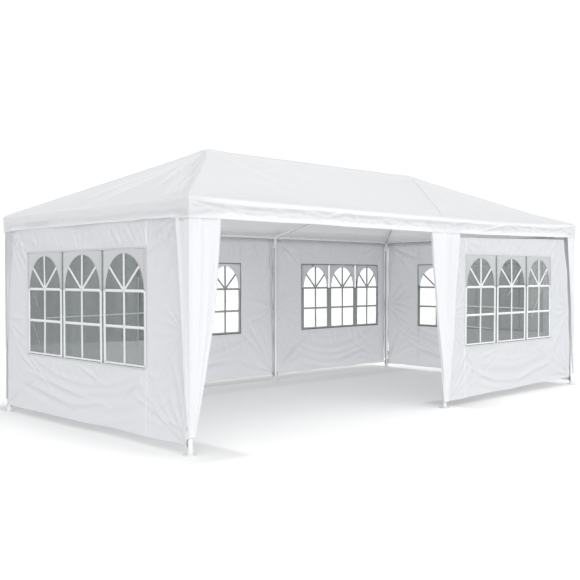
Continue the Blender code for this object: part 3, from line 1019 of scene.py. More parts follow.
def tape_along(cutting, path, width, lift):
    """A flat tape along a path of points, lying on the roof."""
    outward = np.tile(np.array([0.0, 0.0, 1.0]), (len(path), 1))
    heading = np.gradient(path, axis=0)
    heading /= np.linalg.norm(heading, axis=1)[:, None]
    side = np.cross(heading, outward)
    side /= np.linalg.norm(side, axis=1)[:, None]
    offsets = np.array([-0.5, -0.2, 0.2, 0.5]) * width
    rise = np.array([0.0, 1.0, 1.0, 0.0]) * lift + TAPE_CLEARANCE
    rows = np.stack([path + side * off + outward * up for off, up in zip(offsets, rise)])
    run = np.concatenate([[0], np.cumsum(np.linalg.norm(np.diff(path, axis=0), axis=1))])
    u, v = np.meshgrid(run, offsets)
    cutting.add(rows, u, v)


# A single face of cloth, so that it looks like the two faces of a closed sheet
SINGLE_COLOUR = 0.885
SINGLE_GLOW = 0.505

# The tape over the roof's seams, and a grey strip painted as the shadow beside the front middle one
SEAM_STEP = 0.03
SEAM_WIDTH = 0.011
SEAM_RISE = 0.0013
FRONT_MID_LINE = 5
SEAM_SHADOW_WIDTH = 0.012
SEAM_SHADOW_RISE = 0.0008


def build_canopy(look):
    """The canopy, and the seams that run along its hips, ridge and middle rafters, with a painted
    shadow beside the front middle seam.
    """
    roof = Roof(look.fold_depth)
    cloth = cloth_finish("canopy_cloth", tinted(look.canopy_colour, SINGLE_COLOUR), look.weave,
                         look.hem, look.glow * SINGLE_GLOW)
    cutting = Cutting()
    for number, name in enumerate(CANOPY_SIDES):
        columns = np.linspace(0, 1, CANOPY_COLUMNS[name] + 1)
        rim = canopy_slope(cutting, roof, name, columns)
        valance(cutting, name, 21 + number, rim, columns, look)
    piece = cutting.sew("canopy_cover", cloth)
    settle(piece, "canopy_fabric",
           *(f"{part}_{side}" for part in ("roof_panel", "valance") for side in CANOPY_SIDES))

    seams = Cutting()
    for start, end in roof.lines:
        steps = int(math.dist(start, end) / SEAM_STEP)
        x, y = between(start, end, np.linspace(0.012, 0.985, steps))
        if (start, end) == roof.lines[0]:
            lean = roof.near_hip(x, y)
            x, y = x + roof.hip_side[0] * lean, y + roof.hip_side[1] * lean
        tape_along(seams, roof.point(x, y), SEAM_WIDTH, SEAM_RISE)
    tape = tape_finish("seam_tape", look.canopy_colour, 0.45, look.glow * 0.7)
    settle(seams.sew("canopy_seams", tape), "canopy_fabric")

    # A grey strip painted beside the front middle seam stands in for its shadow
    shade = Cutting()
    x, y = between(*roof.lines[FRONT_MID_LINE], np.linspace(0.03, 0.9, 60))
    tape_along(shade, roof.point(x + SEAM_WIDTH, y), SEAM_SHADOW_WIDTH, SEAM_SHADOW_RISE)
    grey = tape_finish("seam_painted_shadow", tinted(look.canopy_colour, 0.5), 0.5)
    settle(shade.sew("canopy_seam_painted_shadow", grey), "canopy_fabric")


# Widths of a cover's face and of its flap, as shares of its top width, at shares of its height,
# and of the front right cover's face
COVER_RISE = (0.0, 0.1, 0.24, 0.44, 0.57, 0.9, 1.0)
FACE_WIDTHS = (0.17, 0.31, 0.486, 0.72, 0.84, 1.0, 1.0)
FLAP_WIDTHS = (0.16, 0.23, 0.335, 0.5, 0.61, 0.97, 1.0)
RIGHT_RISE = (0.0, 0.045, 0.145, 0.289, 0.483, 0.698, 0.932, 1.0)
RIGHT_WIDTHS = (0.12, 0.15, 0.31, 0.372, 0.493, 0.773, 1.037, 1.04)

# The front middle cover's edges: place along the front at heights
MID_LEFT_HEIGHTS = (0.06, 0.86, 1.24, 1.45, 1.78)
MID_LEFT_EDGE = (0.251, 0.116, 0.076, 0.045, 0.017)
MID_RIGHT_HEIGHTS = (0.06, 0.79, 1.03, 1.26, 1.50, 1.79)
MID_RIGHT_EDGE = (0.329, 0.414, 0.435, 0.454, 0.494, 0.524)

# The back middle cover's foot, and how wide the two narrow back covers are at the top
MID_FOOT = 0.078
BACK_MID_WIDTH = 0.42
BACK_CORNER_WIDTH = 0.6

# A cover's colour and glow against the cloth's own. The back ones have the light behind them
COVER_COLOUR = 1.035
COVER_GLOW = 0.66
BACK_COVER_GLOW = 1.8

# Rows and columns of a cover's grid
COVER_ROWS = 110
FLAP_COLUMNS = 26
FACE_COLUMNS = 46
MID_COLUMNS = 66
FIRST_COVER_SEED = 51

# A cover goes up behind the valance this far past its hem, and this far inside it
TUCK_RISE = 0.04
TUCK_DEPTH = 0.006


def cover_rows(bottom, top, hem):
    """Shares of a cover's height from its foot to behind the valance's hem."""
    return np.linspace(0, (hem + TUCK_RISE - bottom) / (top - bottom), COVER_ROWS)


def tucked(z, hem):
    """0 on the part of a cover that shows, and 1 behind the valance's hem."""
    return smooth((z - (hem - 0.004)) / 0.014)


def foot_share(t):
    """How loose a cover hangs at its foot, where it is drawn in, and above it."""
    return smooth(t / 0.06) * 0.8 + 0.2


def belly(t, height):
    """How far a cover stands out between its foot and its top."""
    return height * smooth(t / 0.5) * smooth((1 - t) / 0.3)


def edge_roll(distance):
    """The raised bead along a cover's edge, at a distance from it."""
    return 0.006 * np.exp(-((distance - 0.02) / 0.014) ** 2)


def cover_folds(seed, share, rise, count, depth):
    """Long soft folds that run down a cover and close up towards its foot."""
    pick = random.Random(seed).uniform
    total = np.zeros_like(share)
    for number in range(count):
        place = (number + pick(0.25, 0.75)) / count
        lean = pick(-0.16, 0.16)
        width = pick(0.035, 0.07)
        height = pick(0.005, 0.0095) * (1 if number % 2 else -1)
        start, length = pick(-0.2, 0.45), pick(0.45, 1.1)
        run = np.clip((rise - start) / length, 0, 1)
        across = (share - place - lean * (rise - 0.5)) / width
        total += height * np.exp(-across ** 2) * np.sin(np.pi * run) ** 0.7
    return total * depth


class CornerCover:
    """A tapering skirt wrapped round a corner, hung from the valance."""

    bend = 0.012

    def __init__(self, node, seed, depth):
        low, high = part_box(node)
        self.sign_x = -1 if low.x < 0 else 1
        self.sign_y = -1 if low.y < 0 else 1
        self.corner_x = low.x if self.sign_x < 0 else high.x
        self.corner_y = low.y if self.sign_y < 0 else high.y
        self.turned = self.sign_x * self.sign_y < 0
        self.bottom, self.top = low.z, high.z
        self.top_x = high.x - low.x
        self.top_y = high.y - low.y
        self.seed = seed
        self.depth = depth

    def gathers(self, width, seed):
        """The swag and the short gathers under the valance's hem."""
        creases = Creases(seed, self.depth)
        hem = VALANCE_BOTTOM + 0.004
        creases.fold((0.02, hem), (width - 0.015, hem), 0.012, -0.009, bow=-0.032)
        creases.fold((0.02, hem - 0.02), (width - 0.015, hem - 0.02), 0.01, 0.005, bow=-0.036)
        creases.row((0.02, hem - 0.01), (width, hem - 0.01), 0.04, (-0.012, -0.17), 0.008, 0.006)
        return creases

    def grid(self):
        """Points, flat metres and hem distance over the whole skirt."""
        hem = float(hem_height(self.corner_x, self.corner_y))
        columns = np.concatenate([np.linspace(-1, 0, FLAP_COLUMNS)[:-1],
                                  np.linspace(0, 1, FACE_COLUMNS)])
        t, s = np.meshgrid(cover_rows(self.bottom, self.top, hem), columns, indexing='ij')
        z = self.bottom + (self.top - self.bottom) * t
        tuck = tucked(z, hem)
        wide_x = self.top_x * np.interp(t, COVER_RISE, FACE_WIDTHS)
        if self.sign_x > 0 and self.sign_y < 0:
            wide_x = self.top_x * np.interp(t, RIGHT_RISE, RIGHT_WIDTHS)
        elif self.sign_x > 0:
            wide_x = wide_x * (1 - (1 - BACK_CORNER_WIDTH) * smooth((t - 0.38) / 0.3))
        wide_y = self.top_y * np.interp(t, COVER_RISE, FLAP_WIDTHS)
        run_x = np.clip(s, 0, 1) * wide_x
        run_y = np.clip(-s, 0, 1) * wide_y
        near = np.exp(-((run_x + run_y) / self.bend) ** 2) * self.bend * 0.32
        loose = smooth((run_x + run_y) / 0.03)
        face = cover_folds(self.seed, s, t, 5, self.depth) \
            + self.gathers(self.top_x, self.seed + 5).lift(run_x, z)
        flap = cover_folds(self.seed + 1, -s, t, 3, self.depth * 0.6) \
            + self.gathers(self.top_y, self.seed + 6).lift(run_y, z) * 0.6
        face += belly(t, 0.010) * self.depth * np.sin(np.pi * np.clip(s, 0, 1)) \
            + edge_roll(wide_x - run_x)
        flap += 0.012 * np.exp(-((wide_y - run_y) / 0.026) ** 2) * smooth(t / 0.2)
        foot = foot_share(t) * (1 - tuck)
        x = self.corner_x - self.sign_x * (run_x + near + TUCK_DEPTH * tuck * (s <= 0)) \
            + np.where(s < 0, self.sign_x * flap * loose * foot, 0)
        y = self.corner_y - self.sign_y * (run_y + near + TUCK_DEPTH * tuck * (s >= 0)) \
            + np.where(s > 0, self.sign_y * face * loose * foot, 0)
        points = np.stack([x, y, z], axis=-1)
        return points, run_x - run_y, z, z - self.bottom


class MidCover:
    """A flat tapering skirt in front of a middle leg."""

    def __init__(self, node, seed, depth):
        low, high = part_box(node)
        self.x = (low.x + high.x) / 2
        self.y = low.y if low.y < 0 else high.y
        self.sign_y = -1 if low.y < 0 else 1
        self.turned = self.sign_y > 0
        self.bottom, self.top = low.z, high.z
        self.half_top = (high.x - low.x) / 2
        self.seed = seed
        self.depth = depth

    def grid(self):
        """Points, flat metres and hem distance over the whole skirt."""
        top = float(hem_height(self.x, self.y))
        t, s = np.meshgrid(cover_rows(self.bottom, self.top, top),
                           np.linspace(-1, 1, MID_COLUMNS), indexing='ij')
        z = self.bottom + (self.top - self.bottom) * t
        tuck = tucked(z, top)
        wide = MID_FOOT / 2 + (self.half_top * BACK_MID_WIDTH - MID_FOOT / 2) * t
        middle_x = self.x
        if self.sign_y < 0:
            left = np.interp(z, MID_LEFT_HEIGHTS, MID_LEFT_EDGE)
            right = np.interp(z, MID_RIGHT_HEIGHTS, MID_RIGHT_EDGE)
            middle_x, wide = (left + right) / 2, (right - left) / 2
        fold = cover_folds(self.seed, (s + 1) / 2, t, 7, self.depth)
        gather = Creases(self.seed + 5, self.depth)
        hem = VALANCE_BOTTOM + 0.004
        for middle, half in ((-0.12, 0.1), (0.1, 0.11)):
            gather.fold((middle - half, hem), (middle + half, hem), 0.012, -0.008, bow=-0.03)
        gather.row((-self.half_top, hem - 0.01), (self.half_top, hem - 0.01),
                   0.04, (0.0, -0.16), 0.008, 0.0065)
        out = (fold + gather.lift(s * wide, z) + belly(t, 0.012) * np.cos(np.pi * s / 2)
               + edge_roll(wide * (1 - np.abs(s)))) * foot_share(t)
        turned = 0.02 * smooth(1 - wide * (1 + s) / 0.026) * smooth(t / 0.2)
        clear = 0.008 * smooth((top - z) / 0.1) * smooth(t / 0.2)
        out = (out + clear - turned) * (1 - tuck) - TUCK_DEPTH * tuck
        x = middle_x + s * wide + turned
        y = self.y + self.sign_y * out
        return np.stack([x, y, z], axis=-1), s * wide, z, z - self.bottom


def build_leg_covers(look):
    """The skirts round the six legs."""
    cloths = {row: cloth_finish(f"cover_cloth_{row}", tinted(look.canopy_colour, COVER_COLOUR),
                                look.weave, look.hem, look.glow * glow)
              for row, glow in zip(ROWS, (COVER_GLOW, BACK_COVER_GLOW))}
    for number, (row, place) in enumerate(LEGS):
        node = f"leg_cover_{row}_{place}"
        kind = MidCover if place == "mid" else CornerCover
        shape = kind(node, FIRST_COVER_SEED + number, look.fold_depth)
        points, u, v, edge = shape.grid()
        cutting = Cutting()
        cutting.add(points, u, v, hem=edge, flip=shape.turned)
        piece = cutting.sew(f"{node}_skirt", cloths[row], look.thickness, -1.0)
        settle(piece, "canopy_fabric", node)


# The walls in the foreground are cut finer, and folded less deeply, than the far ones
NEAR_WALLS = ("front_right", "end_left")
NEAR_WALL_FOLDS = 2.0
FAR_WALL_FOLDS = 3.2
NEAR_WALL_STEP = 0.012
FAR_WALL_STEP = 0.018
FIRST_WALL_SEED = 71
SEEDS_A_WALL = 11

# Heights of the loops that tie a wall to its legs, and how far its edge draws in between them
TIE_HEIGHTS = (0.105, 0.52, SPLICE_HEIGHT - 0.06, 1.42)
TIE_SCALLOP = 0.014

# How far the front wall's far edge draws in, at heights
FRONT_DRAW_HEIGHTS = (0.07, 0.65, 1.0, 1.53, 1.79)
FRONT_DRAWS = (0.0, 0.007, 0.031, 0.095, 0.155)

# How far that wall's foot and top go up towards its far edge, how far its top starts below its
# plain place, and how far the right end wall's foot hangs lower
FRONT_FOOT_RISE = 0.026
FRONT_TOP_RISE = 0.039
FRONT_TOP_DROP = 0.013
RIGHT_FOOT_DROP = 0.022

# Folds of the two near walls: the start and the end on the wall, the width and the height
WALL_CREASES = {
    "end_left": (
        (1.27, 1.775, 1.196, 1.381, 0.018, 0.007), (1.231, 1.767, 1.027, 1.442, 0.02, 0.008),
        (1.152, 1.752, 1.063, 1.595, 0.022, -0.007), (0.934, 1.713, 0.811, 1.619, 0.02, 0.006),
        (0.822, 1.722, 0.823, 1.596, 0.018, -0.005), (0.64, 1.721, 0.641, 1.591, 0.02, 0.006),
        (0.383, 1.712, 0.362, 1.585, 0.022, 0.005), (0.204, 1.751, 0.14, 1.585, 0.02, 0.006),
        (0.073, 1.735, 0.054, 1.583, 0.018, -0.006), (-0.427, 1.773, -0.586, 1.596, 0.016, 0.008),
        (-0.531, 1.775, -0.598, 1.608, 0.014, -0.006), (-0.622, 1.771, -0.775, 1.597, 0.018, 0.008),
        (-0.688, 1.768, -0.786, 1.609, 0.014, -0.006), (-0.83, 1.749, -0.914, 1.599, 0.016, 0.007),
        (-1.329, 1.762, -0.977, 1.531, 0.018, 0.007), (-1.182, 1.722, -0.998, 1.615, 0.015, -0.006),
        (-1.28, 1.648, -0.976, 1.398, 0.02, 0.006), (-1.337, 1.5, -0.995, 1.175, 0.022, 0.007),
        (-1.365, 1.355, -0.994, 1.024, 0.022, -0.006), (1.376, 0.972, 1.069, 1.184, 0.016, 0.007),
        (1.39, 0.94, 1.033, 0.946, 0.016, 0.006), (1.411, 0.792, 1.065, 0.532, 0.018, 0.007),
        (1.413, 0.693, 0.563, 0.314, 0.022, 0.009), (1.167, 0.464, -0.439, 0.231, 0.026, 0.009),
        (1.273, 0.334, 0.384, 0.162, 0.03, -0.008), (0.446, 0.553, 0.315, 0.416, 0.016, 0.006),
        (0.652, 0.572, 0.561, 0.464, 0.014, 0.005), (0.119, 0.576, -0.345, 0.41, 0.02, 0.008),
        (-0.088, 0.58, -0.247, 0.443, 0.016, -0.006), (-0.928, 0.583, -0.552, 0.326, 0.02, 0.009),
        (-0.962, 0.595, -1.046, 0.524, 0.014, 0.006), (-1.129, 0.541, -0.961, 0.388, 0.016, -0.006),
        (-1.258, 0.398, -0.943, 0.227, 0.02, 0.008), (-1.176, 0.255, -1.444, 0.183, 0.016, 0.007),
        (-0.552, 0.285, 0.252, 0.154, 0.026, -0.008), (1.064, 0.628, 0.563, 0.314, 0.02, 0.007),
        (0.248, 0.533, 0.121, 0.411, 0.014, 0.005), (-1.43, 0.416, -1.336, 0.331, 0.016, 0.006),
    ),
    "front_right": (
        (2.725, 1.787, 2.405, 1.497, 0.02, 0.009), (2.725, 1.766, 2.406, 1.305, 0.022, -0.008),
        (2.74, 1.669, 2.435, 1.113, 0.022, 0.007), (2.862, 0.894, 2.577, 0.694, 0.018, 0.007),
        (0.531, 1.74, 0.615, 1.611, 0.018, -0.008), (0.562, 1.741, 0.774, 1.578, 0.02, 0.007),
        (1.337, 1.759, 1.221, 1.636, 0.018, -0.007), (1.6, 1.76, 1.432, 1.589, 0.02, 0.006),
        (1.875, 1.762, 1.626, 1.593, 0.02, -0.006), (2.24, 1.78, 2.056, 1.587, 0.02, 0.006),
        (0.796, 1.748, 0.818, 1.579, 0.018, 0.006), (1.038, 1.75, 0.994, 1.582, 0.018, -0.005),
        (2.841, 0.887, 2.378, 0.424, 0.022, 0.010), (2.77, 0.907, 2.427, 0.656, 0.018, -0.008),
        (2.719, 0.642, 2.446, 0.335, 0.02, -0.007), (2.861, 0.688, 2.599, 0.41, 0.02, 0.006),
        (2.378, 0.424, 2.149, 0.191, 0.022, 0.007), (2.082, 0.533, 2.295, 0.413, 0.018, 0.006),
        (0.607, 0.587, 0.342, 0.269, 0.018, 0.009), (0.607, 0.566, 0.885, 0.309, 0.018, 0.009),
        (0.607, 0.31, 0.324, 0.113, 0.016, 0.008), (0.626, 0.287, 0.75, 0.201, 0.016, 0.007),
        (0.617, 0.138, 0.415, 0.083, 0.014, 0.006), (0.692, 0.399, 0.788, 0.295, 0.016, -0.007),
        (0.885, 0.309, 1.267, 0.176, 0.02, 0.006), (0.413, 0.762, 0.597, 0.599, 0.018, 0.007),
        (1.286, 0.546, 0.904, 0.46, 0.018, 0.006), (1.266, 0.469, 0.924, 0.283, 0.018, -0.006),
        (2.865, 0.123, 2.296, 0.179, 0.02, 0.006),
    ),
}


STRIP_STEP = 0.03


class Wall:
    """A window wall: where it hangs, how it is creased, and its windows."""

    def __init__(self, name, seed, depth):
        low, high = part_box(f"{name}_wall")
        self.name = name
        self.lengthwise = not name.startswith("end")
        self.bottom, self.top = low.z, high.z
        along, across = (0, 1) if self.lengthwise else (1, 0)
        self.low, self.high = low[along], high[along]
        self.plane = (low[across] + high[across]) / 2
        self.sign = -1 if self.plane < 0 else 1
        self.posts = PANE_POSTS[name]
        self.near = name in NEAR_WALLS
        self.window = NEAR_WINDOW if self.near else FAR_WINDOW
        self.rim_low, self.rim_high = self.window["bottom"], self.window["top"]
        self.depth = depth
        self.seed = seed
        self.creases = Creases(seed, depth * (NEAR_WALL_FOLDS if self.near else FAR_WALL_FOLDS))
        self.crease(self.creases)

    def crease(self, creases):
        """Folds from the held corners and ties, and swags under the windows."""
        top = VALANCE_BOTTOM + 0.02
        low_foot = self.rim_low - 0.01
        width = self.high - self.low
        for u, inward in ((self.low, 1), (self.high, -1)):
            flat = 0 if inward > 0 else 180
            down = -42 if inward > 0 else 222
            up = 44 if inward > 0 else 136
            creases.fan((u, top), down, 62, 6, 0.85, 0.02, 0.0075)
            creases.fan((u, self.bottom + 0.02), up, 70, 7, 0.95, 0.022, 0.007)
            creases.fan((u, SPLICE_HEIGHT - 0.02), flat, 120, 8, 0.55, 0.016, 0.006)
        for u, z, end_u, end_z, fold_width, height in WALL_CREASES.get(self.name, ()):
            creases.fold((u, z), (end_u, end_z), fold_width, height)
        creases.swags((self.low, 0.86), (self.high, 0.86), 0.42, 4, 0.085, 0.032, 0.006)
        creases.row((self.low + 0.1, top), (self.high - 0.1, top), 0.11, (0.06, -0.22),
                    0.015, 0.005)
        creases.row((self.low + 0.15, top - 0.06), (self.high - 0.15, top - 0.06), 0.15,
                    (-0.09, -0.2), 0.014, 0.005)
        creases.row((self.posts[0], low_foot), (self.posts[-1], low_foot), 0.13, (0.06, -0.2),
                    0.02, 0.005)
        middle = (self.low + self.high) / 2
        creases.fold((self.low + 0.2 * width, 0.22), (middle, 0.1), 0.03, 0.006, -0.03)
        creases.fold((self.high - 0.15 * width, 0.3), (middle, 0.12), 0.03, 0.006, -0.05)

    def offset(self, u, z):
        """How far the wall stands out from its plane."""
        outside = np.maximum.reduce([self.posts[0] - u, u - self.posts[-1],
                                     self.rim_low - z, z - self.rim_high])
        stiff = 0.3 + 0.7 * smooth(outside / 0.07)
        edge = np.minimum(u - self.low, self.high - u)
        held = 0.25 + 0.75 * smooth(edge / 0.06)
        belly = 0.007 * drift(self.seed + 3, u, z, 1.1)
        out = (self.creases.lift(u, z) * held + belly * self.depth) * stiff
        if self.name == "front_right":
            cover_edge = np.interp(z, MID_RIGHT_HEIGHTS, MID_RIGHT_EDGE)
            beneath = smooth((cover_edge + 0.035 - u) / 0.04)
            out = out * (1 - 0.85 * beneath) - 0.006 * beneath
        return out

    def hang(self, u, z):
        """Where a flat place on the wall hangs, with its edges drawn in between ties."""
        ties = (self.bottom, *TIE_HEIGHTS, self.top)
        turns = np.interp(z, ties, range(len(ties)))
        scallop = TIE_SCALLOP * self.depth * np.sin(np.pi * turns) ** 2
        low_side = smooth((self.posts[0] - u) / (self.posts[0] - self.low))
        high_side = smooth((u - self.posts[-1]) / (self.high - self.posts[-1]))
        draw = 0.0
        rise = 0.004 * drift(self.seed + 5, u, u * 0, 0.6) * smooth((0.3 - z) / 0.3) * self.depth
        foot = smooth((0.45 - z) / 0.4)
        if self.name == "front_right":
            along = smooth((u - self.low) / (self.high - self.low))
            draw = np.interp(z, FRONT_DRAW_HEIGHTS, FRONT_DRAWS)
            rise = rise + FRONT_FOOT_RISE * along * foot \
                + (FRONT_TOP_RISE * along - FRONT_TOP_DROP) * smooth((z - 1.58) / 0.18)
        if self.name == "end_right":
            rise = rise - RIGHT_FOOT_DROP * foot
        return u + low_side * scallop - high_side * (scallop + draw), z + rise

    def at(self, u, z, lift=0.0):
        """Points on the wall, lifted outward by a distance."""
        u = np.asarray(u, float)
        z = np.asarray(z, float)
        out = self.plane + self.sign * (self.offset(u, z) + lift)
        along, up = self.hang(u, z)
        return self.points(along, out, up)

    def points(self, along, across, up):
        """Points from places along the wall, across it and up."""
        return np.stack([along, across, up] if self.lengthwise else [across, along, up], axis=-1)

    def flips(self):
        """Whether a grid of rows in z and columns in u faces inward."""
        return (self.sign > 0) == self.lengthwise

    def patch(self, cutting, u_lines, z_lines, lift=0.0, keep=None, hem=False):
        """A grid on the wall, at places along it and heights."""
        z, u = np.meshgrid(z_lines, u_lines, indexing='ij')
        edge = None
        if hem:
            edge = np.minimum.reduce([u - self.low, self.high - u, z - self.bottom,
                                      np.full(u.shape, 1.0)])
        cutting.add(self.at(u, z, lift), u, z, hem=edge, keep=keep, flip=self.flips())

    def strip(self, cutting, start, end, width, lift):
        """A straight printed bar or tape from point to point on the wall."""
        start, end = np.array(start), np.array(end)
        length = float(np.linalg.norm(end - start))
        run = (end - start) / length
        side = np.array([-run[1], run[0]]) * width / 2
        part = np.linspace(0, 1, max(2, int(length / STRIP_STEP) + 1))[None, :, None]
        across = np.linspace(1, -1, 3)[:, None, None]
        flat = start + (end - start) * part + side * across
        points = self.at(flat[..., 0], flat[..., 1], lift)
        cutting.add(points, flat[..., 0], flat[..., 1], flip=not self.flips())


def wall_cloth(wall, look, cloth):
    """The wall's cloth with its window cut out, hemmed at its edges."""
    step = NEAR_WALL_STEP if wall.near else FAR_WALL_STEP
    u_lines = spaced(wall.low, wall.high, step, wall.posts[0], wall.posts[-1])
    z_lines = spaced(wall.bottom, wall.top, step, wall.rim_low, wall.rim_high)
    u_middle = (u_lines[:-1] + u_lines[1:]) / 2
    z_middle = (z_lines[:-1] + z_lines[1:]) / 2
    z_grid, u_grid = np.meshgrid(z_middle, u_middle, indexing='ij')
    inside = ((u_grid > wall.posts[0]) & (u_grid < wall.posts[-1])
              & (z_grid > wall.rim_low) & (z_grid < wall.rim_high))
    cutting = Cutting()
    wall.patch(cutting, u_lines, z_lines, keep=~inside, hem=True)
    piece = cutting.sew(f"{wall.name}_wall_cloth", cloth, look.thickness, 0.0)
    settle(piece, "wall_fabric", f"{wall.name}_wall")


BINDING_WIDTH = 0.008
LONG_SEAM_WIDTH = 0.01
TAPE_THICKNESS = 0.0009


def wall_tapes(wall, look, tape, seam_tape):
    """The binding round the window and the long seam."""
    left, right = wall.posts[0], wall.posts[-1]
    lift = look.thickness
    binding, seam = Cutting(), Cutting()
    for height in (wall.rim_low, wall.rim_high):
        wall.strip(binding, (left, height), (right, height), BINDING_WIDTH, lift)
    for side in (left, right):
        wall.strip(binding, (side, wall.rim_low), (side, wall.rim_high), BINDING_WIDTH, lift)
    settle(binding.sew(f"{wall.name}_window_binding", tape, TAPE_THICKNESS, 1.0), "wall_fabric")
    side = left if SEAM_AT_LOW_SIDE[wall.name] else right
    for low, high in ((wall.bottom, wall.rim_low), (wall.rim_high, wall.top - 0.02)):
        wall.strip(seam, (side, low), (side, high), LONG_SEAM_WIDTH, lift)
    settle(seam.sew(f"{wall.name}_long_seam", seam_tape, TAPE_THICKNESS, 1.0), "wall_fabric")


def arch_points(wall, left, right, count):
    """The underside of an arch from left to right."""
    angle = np.linspace(math.pi, 0, count)
    middle, half = (left + right) / 2, (right - left) / 2
    spring, rise = wall.window["high_bar"], wall.window["rise"]
    return middle + half * np.cos(angle), spring + rise * np.sin(angle)


# How far a window's parts stand out from the face of the cloth, less than 0 for behind it
FILM_LIFT = -0.0042
PRINT_LIFT = -0.003
BACK_LIFT = -0.0076
FILM_CREASE_LIFT = -0.001

# Their thicknesses
FILM_THICKNESS = 0.0005
SPANDREL_THICKNESS = 0.0066
BAR_THICKNESS = 0.0078
BACK_THICKNESS = 0.0006

# The film's grid, its ripples, and how far it runs on past the window's rim
NEAR_FILM_STEP = 0.02
FAR_FILM_STEP = 0.03
FILM_RIPPLE = 0.0016
FILM_MARGIN = 0.01

# Widths of a window's printed parts, as shares of the bars' own, and of its sill
JAMB_SHARE = 1.15
MULLION_SHARE = 0.9
RAY_SHARE = 0.8
BACK_SHARE = 1.05
SILL_WIDTH = 0.015
RIM_GAP = 0.004

# Grid lines along an arch, and rows from the arch up to the window's rim
ARCH_LINES = 33
SPANDREL_ROWS = 6


def window_cells(wall, look):
    """Left and right edges of each printed window on a wall."""
    posts = wall.posts
    cells = []
    for number, (left, right) in enumerate(zip(posts, posts[1:])):
        inner_left = left + (look.slit / 2 if number else RIM_GAP)
        inner_right = right - (look.slit / 2 if number < len(posts) - 2 else RIM_GAP)
        cells.append((inner_left, inner_right))
    return cells


def lay_film(wall, material):
    """The clear film behind a wall's window."""
    step = NEAR_FILM_STEP if wall.near else FAR_FILM_STEP
    u_lines = spaced(wall.posts[0] - FILM_MARGIN, wall.posts[-1] + FILM_MARGIN, step)
    z_lines = spaced(wall.rim_low - FILM_MARGIN, wall.rim_high + FILM_MARGIN, step)
    z, u = np.meshgrid(z_lines, u_lines, indexing='ij')
    ripple = FILM_RIPPLE * drift(wall.seed + 9, u * 1.6, z, 0.3)
    film = Cutting()
    film.add(wall.at(u, z, ripple + FILM_LIFT), u, z, flip=wall.flips())
    piece = film.sew(f"{wall.name}_film", material, FILM_THICKNESS, 0.0)
    settle(piece, "window_film", f"{wall.name}_window_film")


def bar_runs(wall, left, right, bar):
    """Each bar of one printed window, by its start, its end and its width."""
    jamb = bar * JAMB_SHARE
    glass_left, glass_right = left + jamb, right - jamb
    middle = (glass_left + glass_right) / 2
    half = (glass_right - glass_left) / 2
    low, high = wall.rim_low + 0.006, wall.window["high_bar"]
    foot = wall.window["sill"] - SILL_WIDTH / 2
    rise = wall.window["rise"]
    runs = [((side, low), (side, high), jamb)
            for side in ((left + glass_left) / 2, (glass_right + right) / 2)]
    runs.append(((left, foot), (right, foot), SILL_WIDTH))
    runs += [((glass_left, height), (glass_right, height), bar)
             for height in (wall.window["low_bar"], high)]
    runs.append(((middle, wall.window["sill"]), (middle, high + rise), bar * MULLION_SHARE))
    for way in (-1, 1):
        tip = (middle + way * half * math.cos(RAY_ANGLE) * 1.01,
               high + rise * math.sin(RAY_ANGLE) * 1.01)
        runs.append(((middle, high), tip, bar * RAY_SHARE))
    return runs


def print_spandrel(wall, frost, left, right, jamb):
    """The frosted print over one window's arch and beside it."""
    arch_u, arch_z = arch_points(wall, left + jamb, right - jamb, ARCH_LINES)
    part = np.linspace(0, 1, SPANDREL_ROWS)[:, None]
    u = np.repeat(arch_u[None, :], SPANDREL_ROWS, axis=0)
    z = arch_z[None, :] + (wall.rim_high - arch_z[None, :]) * part
    frost.add(wall.at(u, z, PRINT_LIFT), u, z, flip=wall.flips())
    for outer, inner in ((left, left + jamb), (right - jamb, right)):
        wall.patch(frost, np.array([outer, inner]),
                   spaced(wall.window["high_bar"], wall.rim_high, 0.04), PRINT_LIFT)


def build_windows(wall, look, finishes):
    """Film, frosted spandrels and white bars of one wall."""
    lay_film(wall, finishes["film"])
    frost, bars, backs = Cutting(), Cutting(), Cutting()
    for left, right in window_cells(wall, look):
        print_spandrel(wall, frost, left, right, look.bar_width * JAMB_SHARE)
        for start, end, width in bar_runs(wall, left, right, look.bar_width):
            wall.strip(bars, start, end, width, PRINT_LIFT)
            wall.strip(backs, start, end, width * BACK_SHARE, BACK_LIFT)
        if right < wall.posts[-1] - look.slit and not wall.near:
            slit = right + look.slit / 2
            wall.strip(backs, (slit, wall.rim_low + 0.006), (slit, wall.window["high_bar"]),
                       look.slit + 0.004, BACK_LIFT)
    if wall.near:
        creases = Cutting()
        for u, z, end_u, end_z, width in FILM_CREASES[wall.name]:
            wall.strip(creases, (u, z), (end_u, end_z), width, FILM_CREASE_LIFT)
        settle(creases.sew(f"{wall.name}_film_creases", finishes["crease"], BACK_THICKNESS, 0.0),
               "window_film")
    for cutting, name, finish, thickness in (
            (frost, "spandrels", "frost", SPANDREL_THICKNESS),
            (bars, "window_bars", "bars", BAR_THICKNESS),
            (backs, "bar_backs", "backs", BACK_THICKNESS)):
        settle(cutting.sew(f"{wall.name}_{name}", finishes[finish], thickness, 0.0),
               "wall_fabric")


SHARP_ANGLE = math.radians(35)


def rounded(mesh):
    """Shade a mesh smooth, except at its sharp edges."""
    mesh.shade_smooth()
    mesh.set_sharp_from_angle(angle=SHARP_ANGLE)
    return mesh


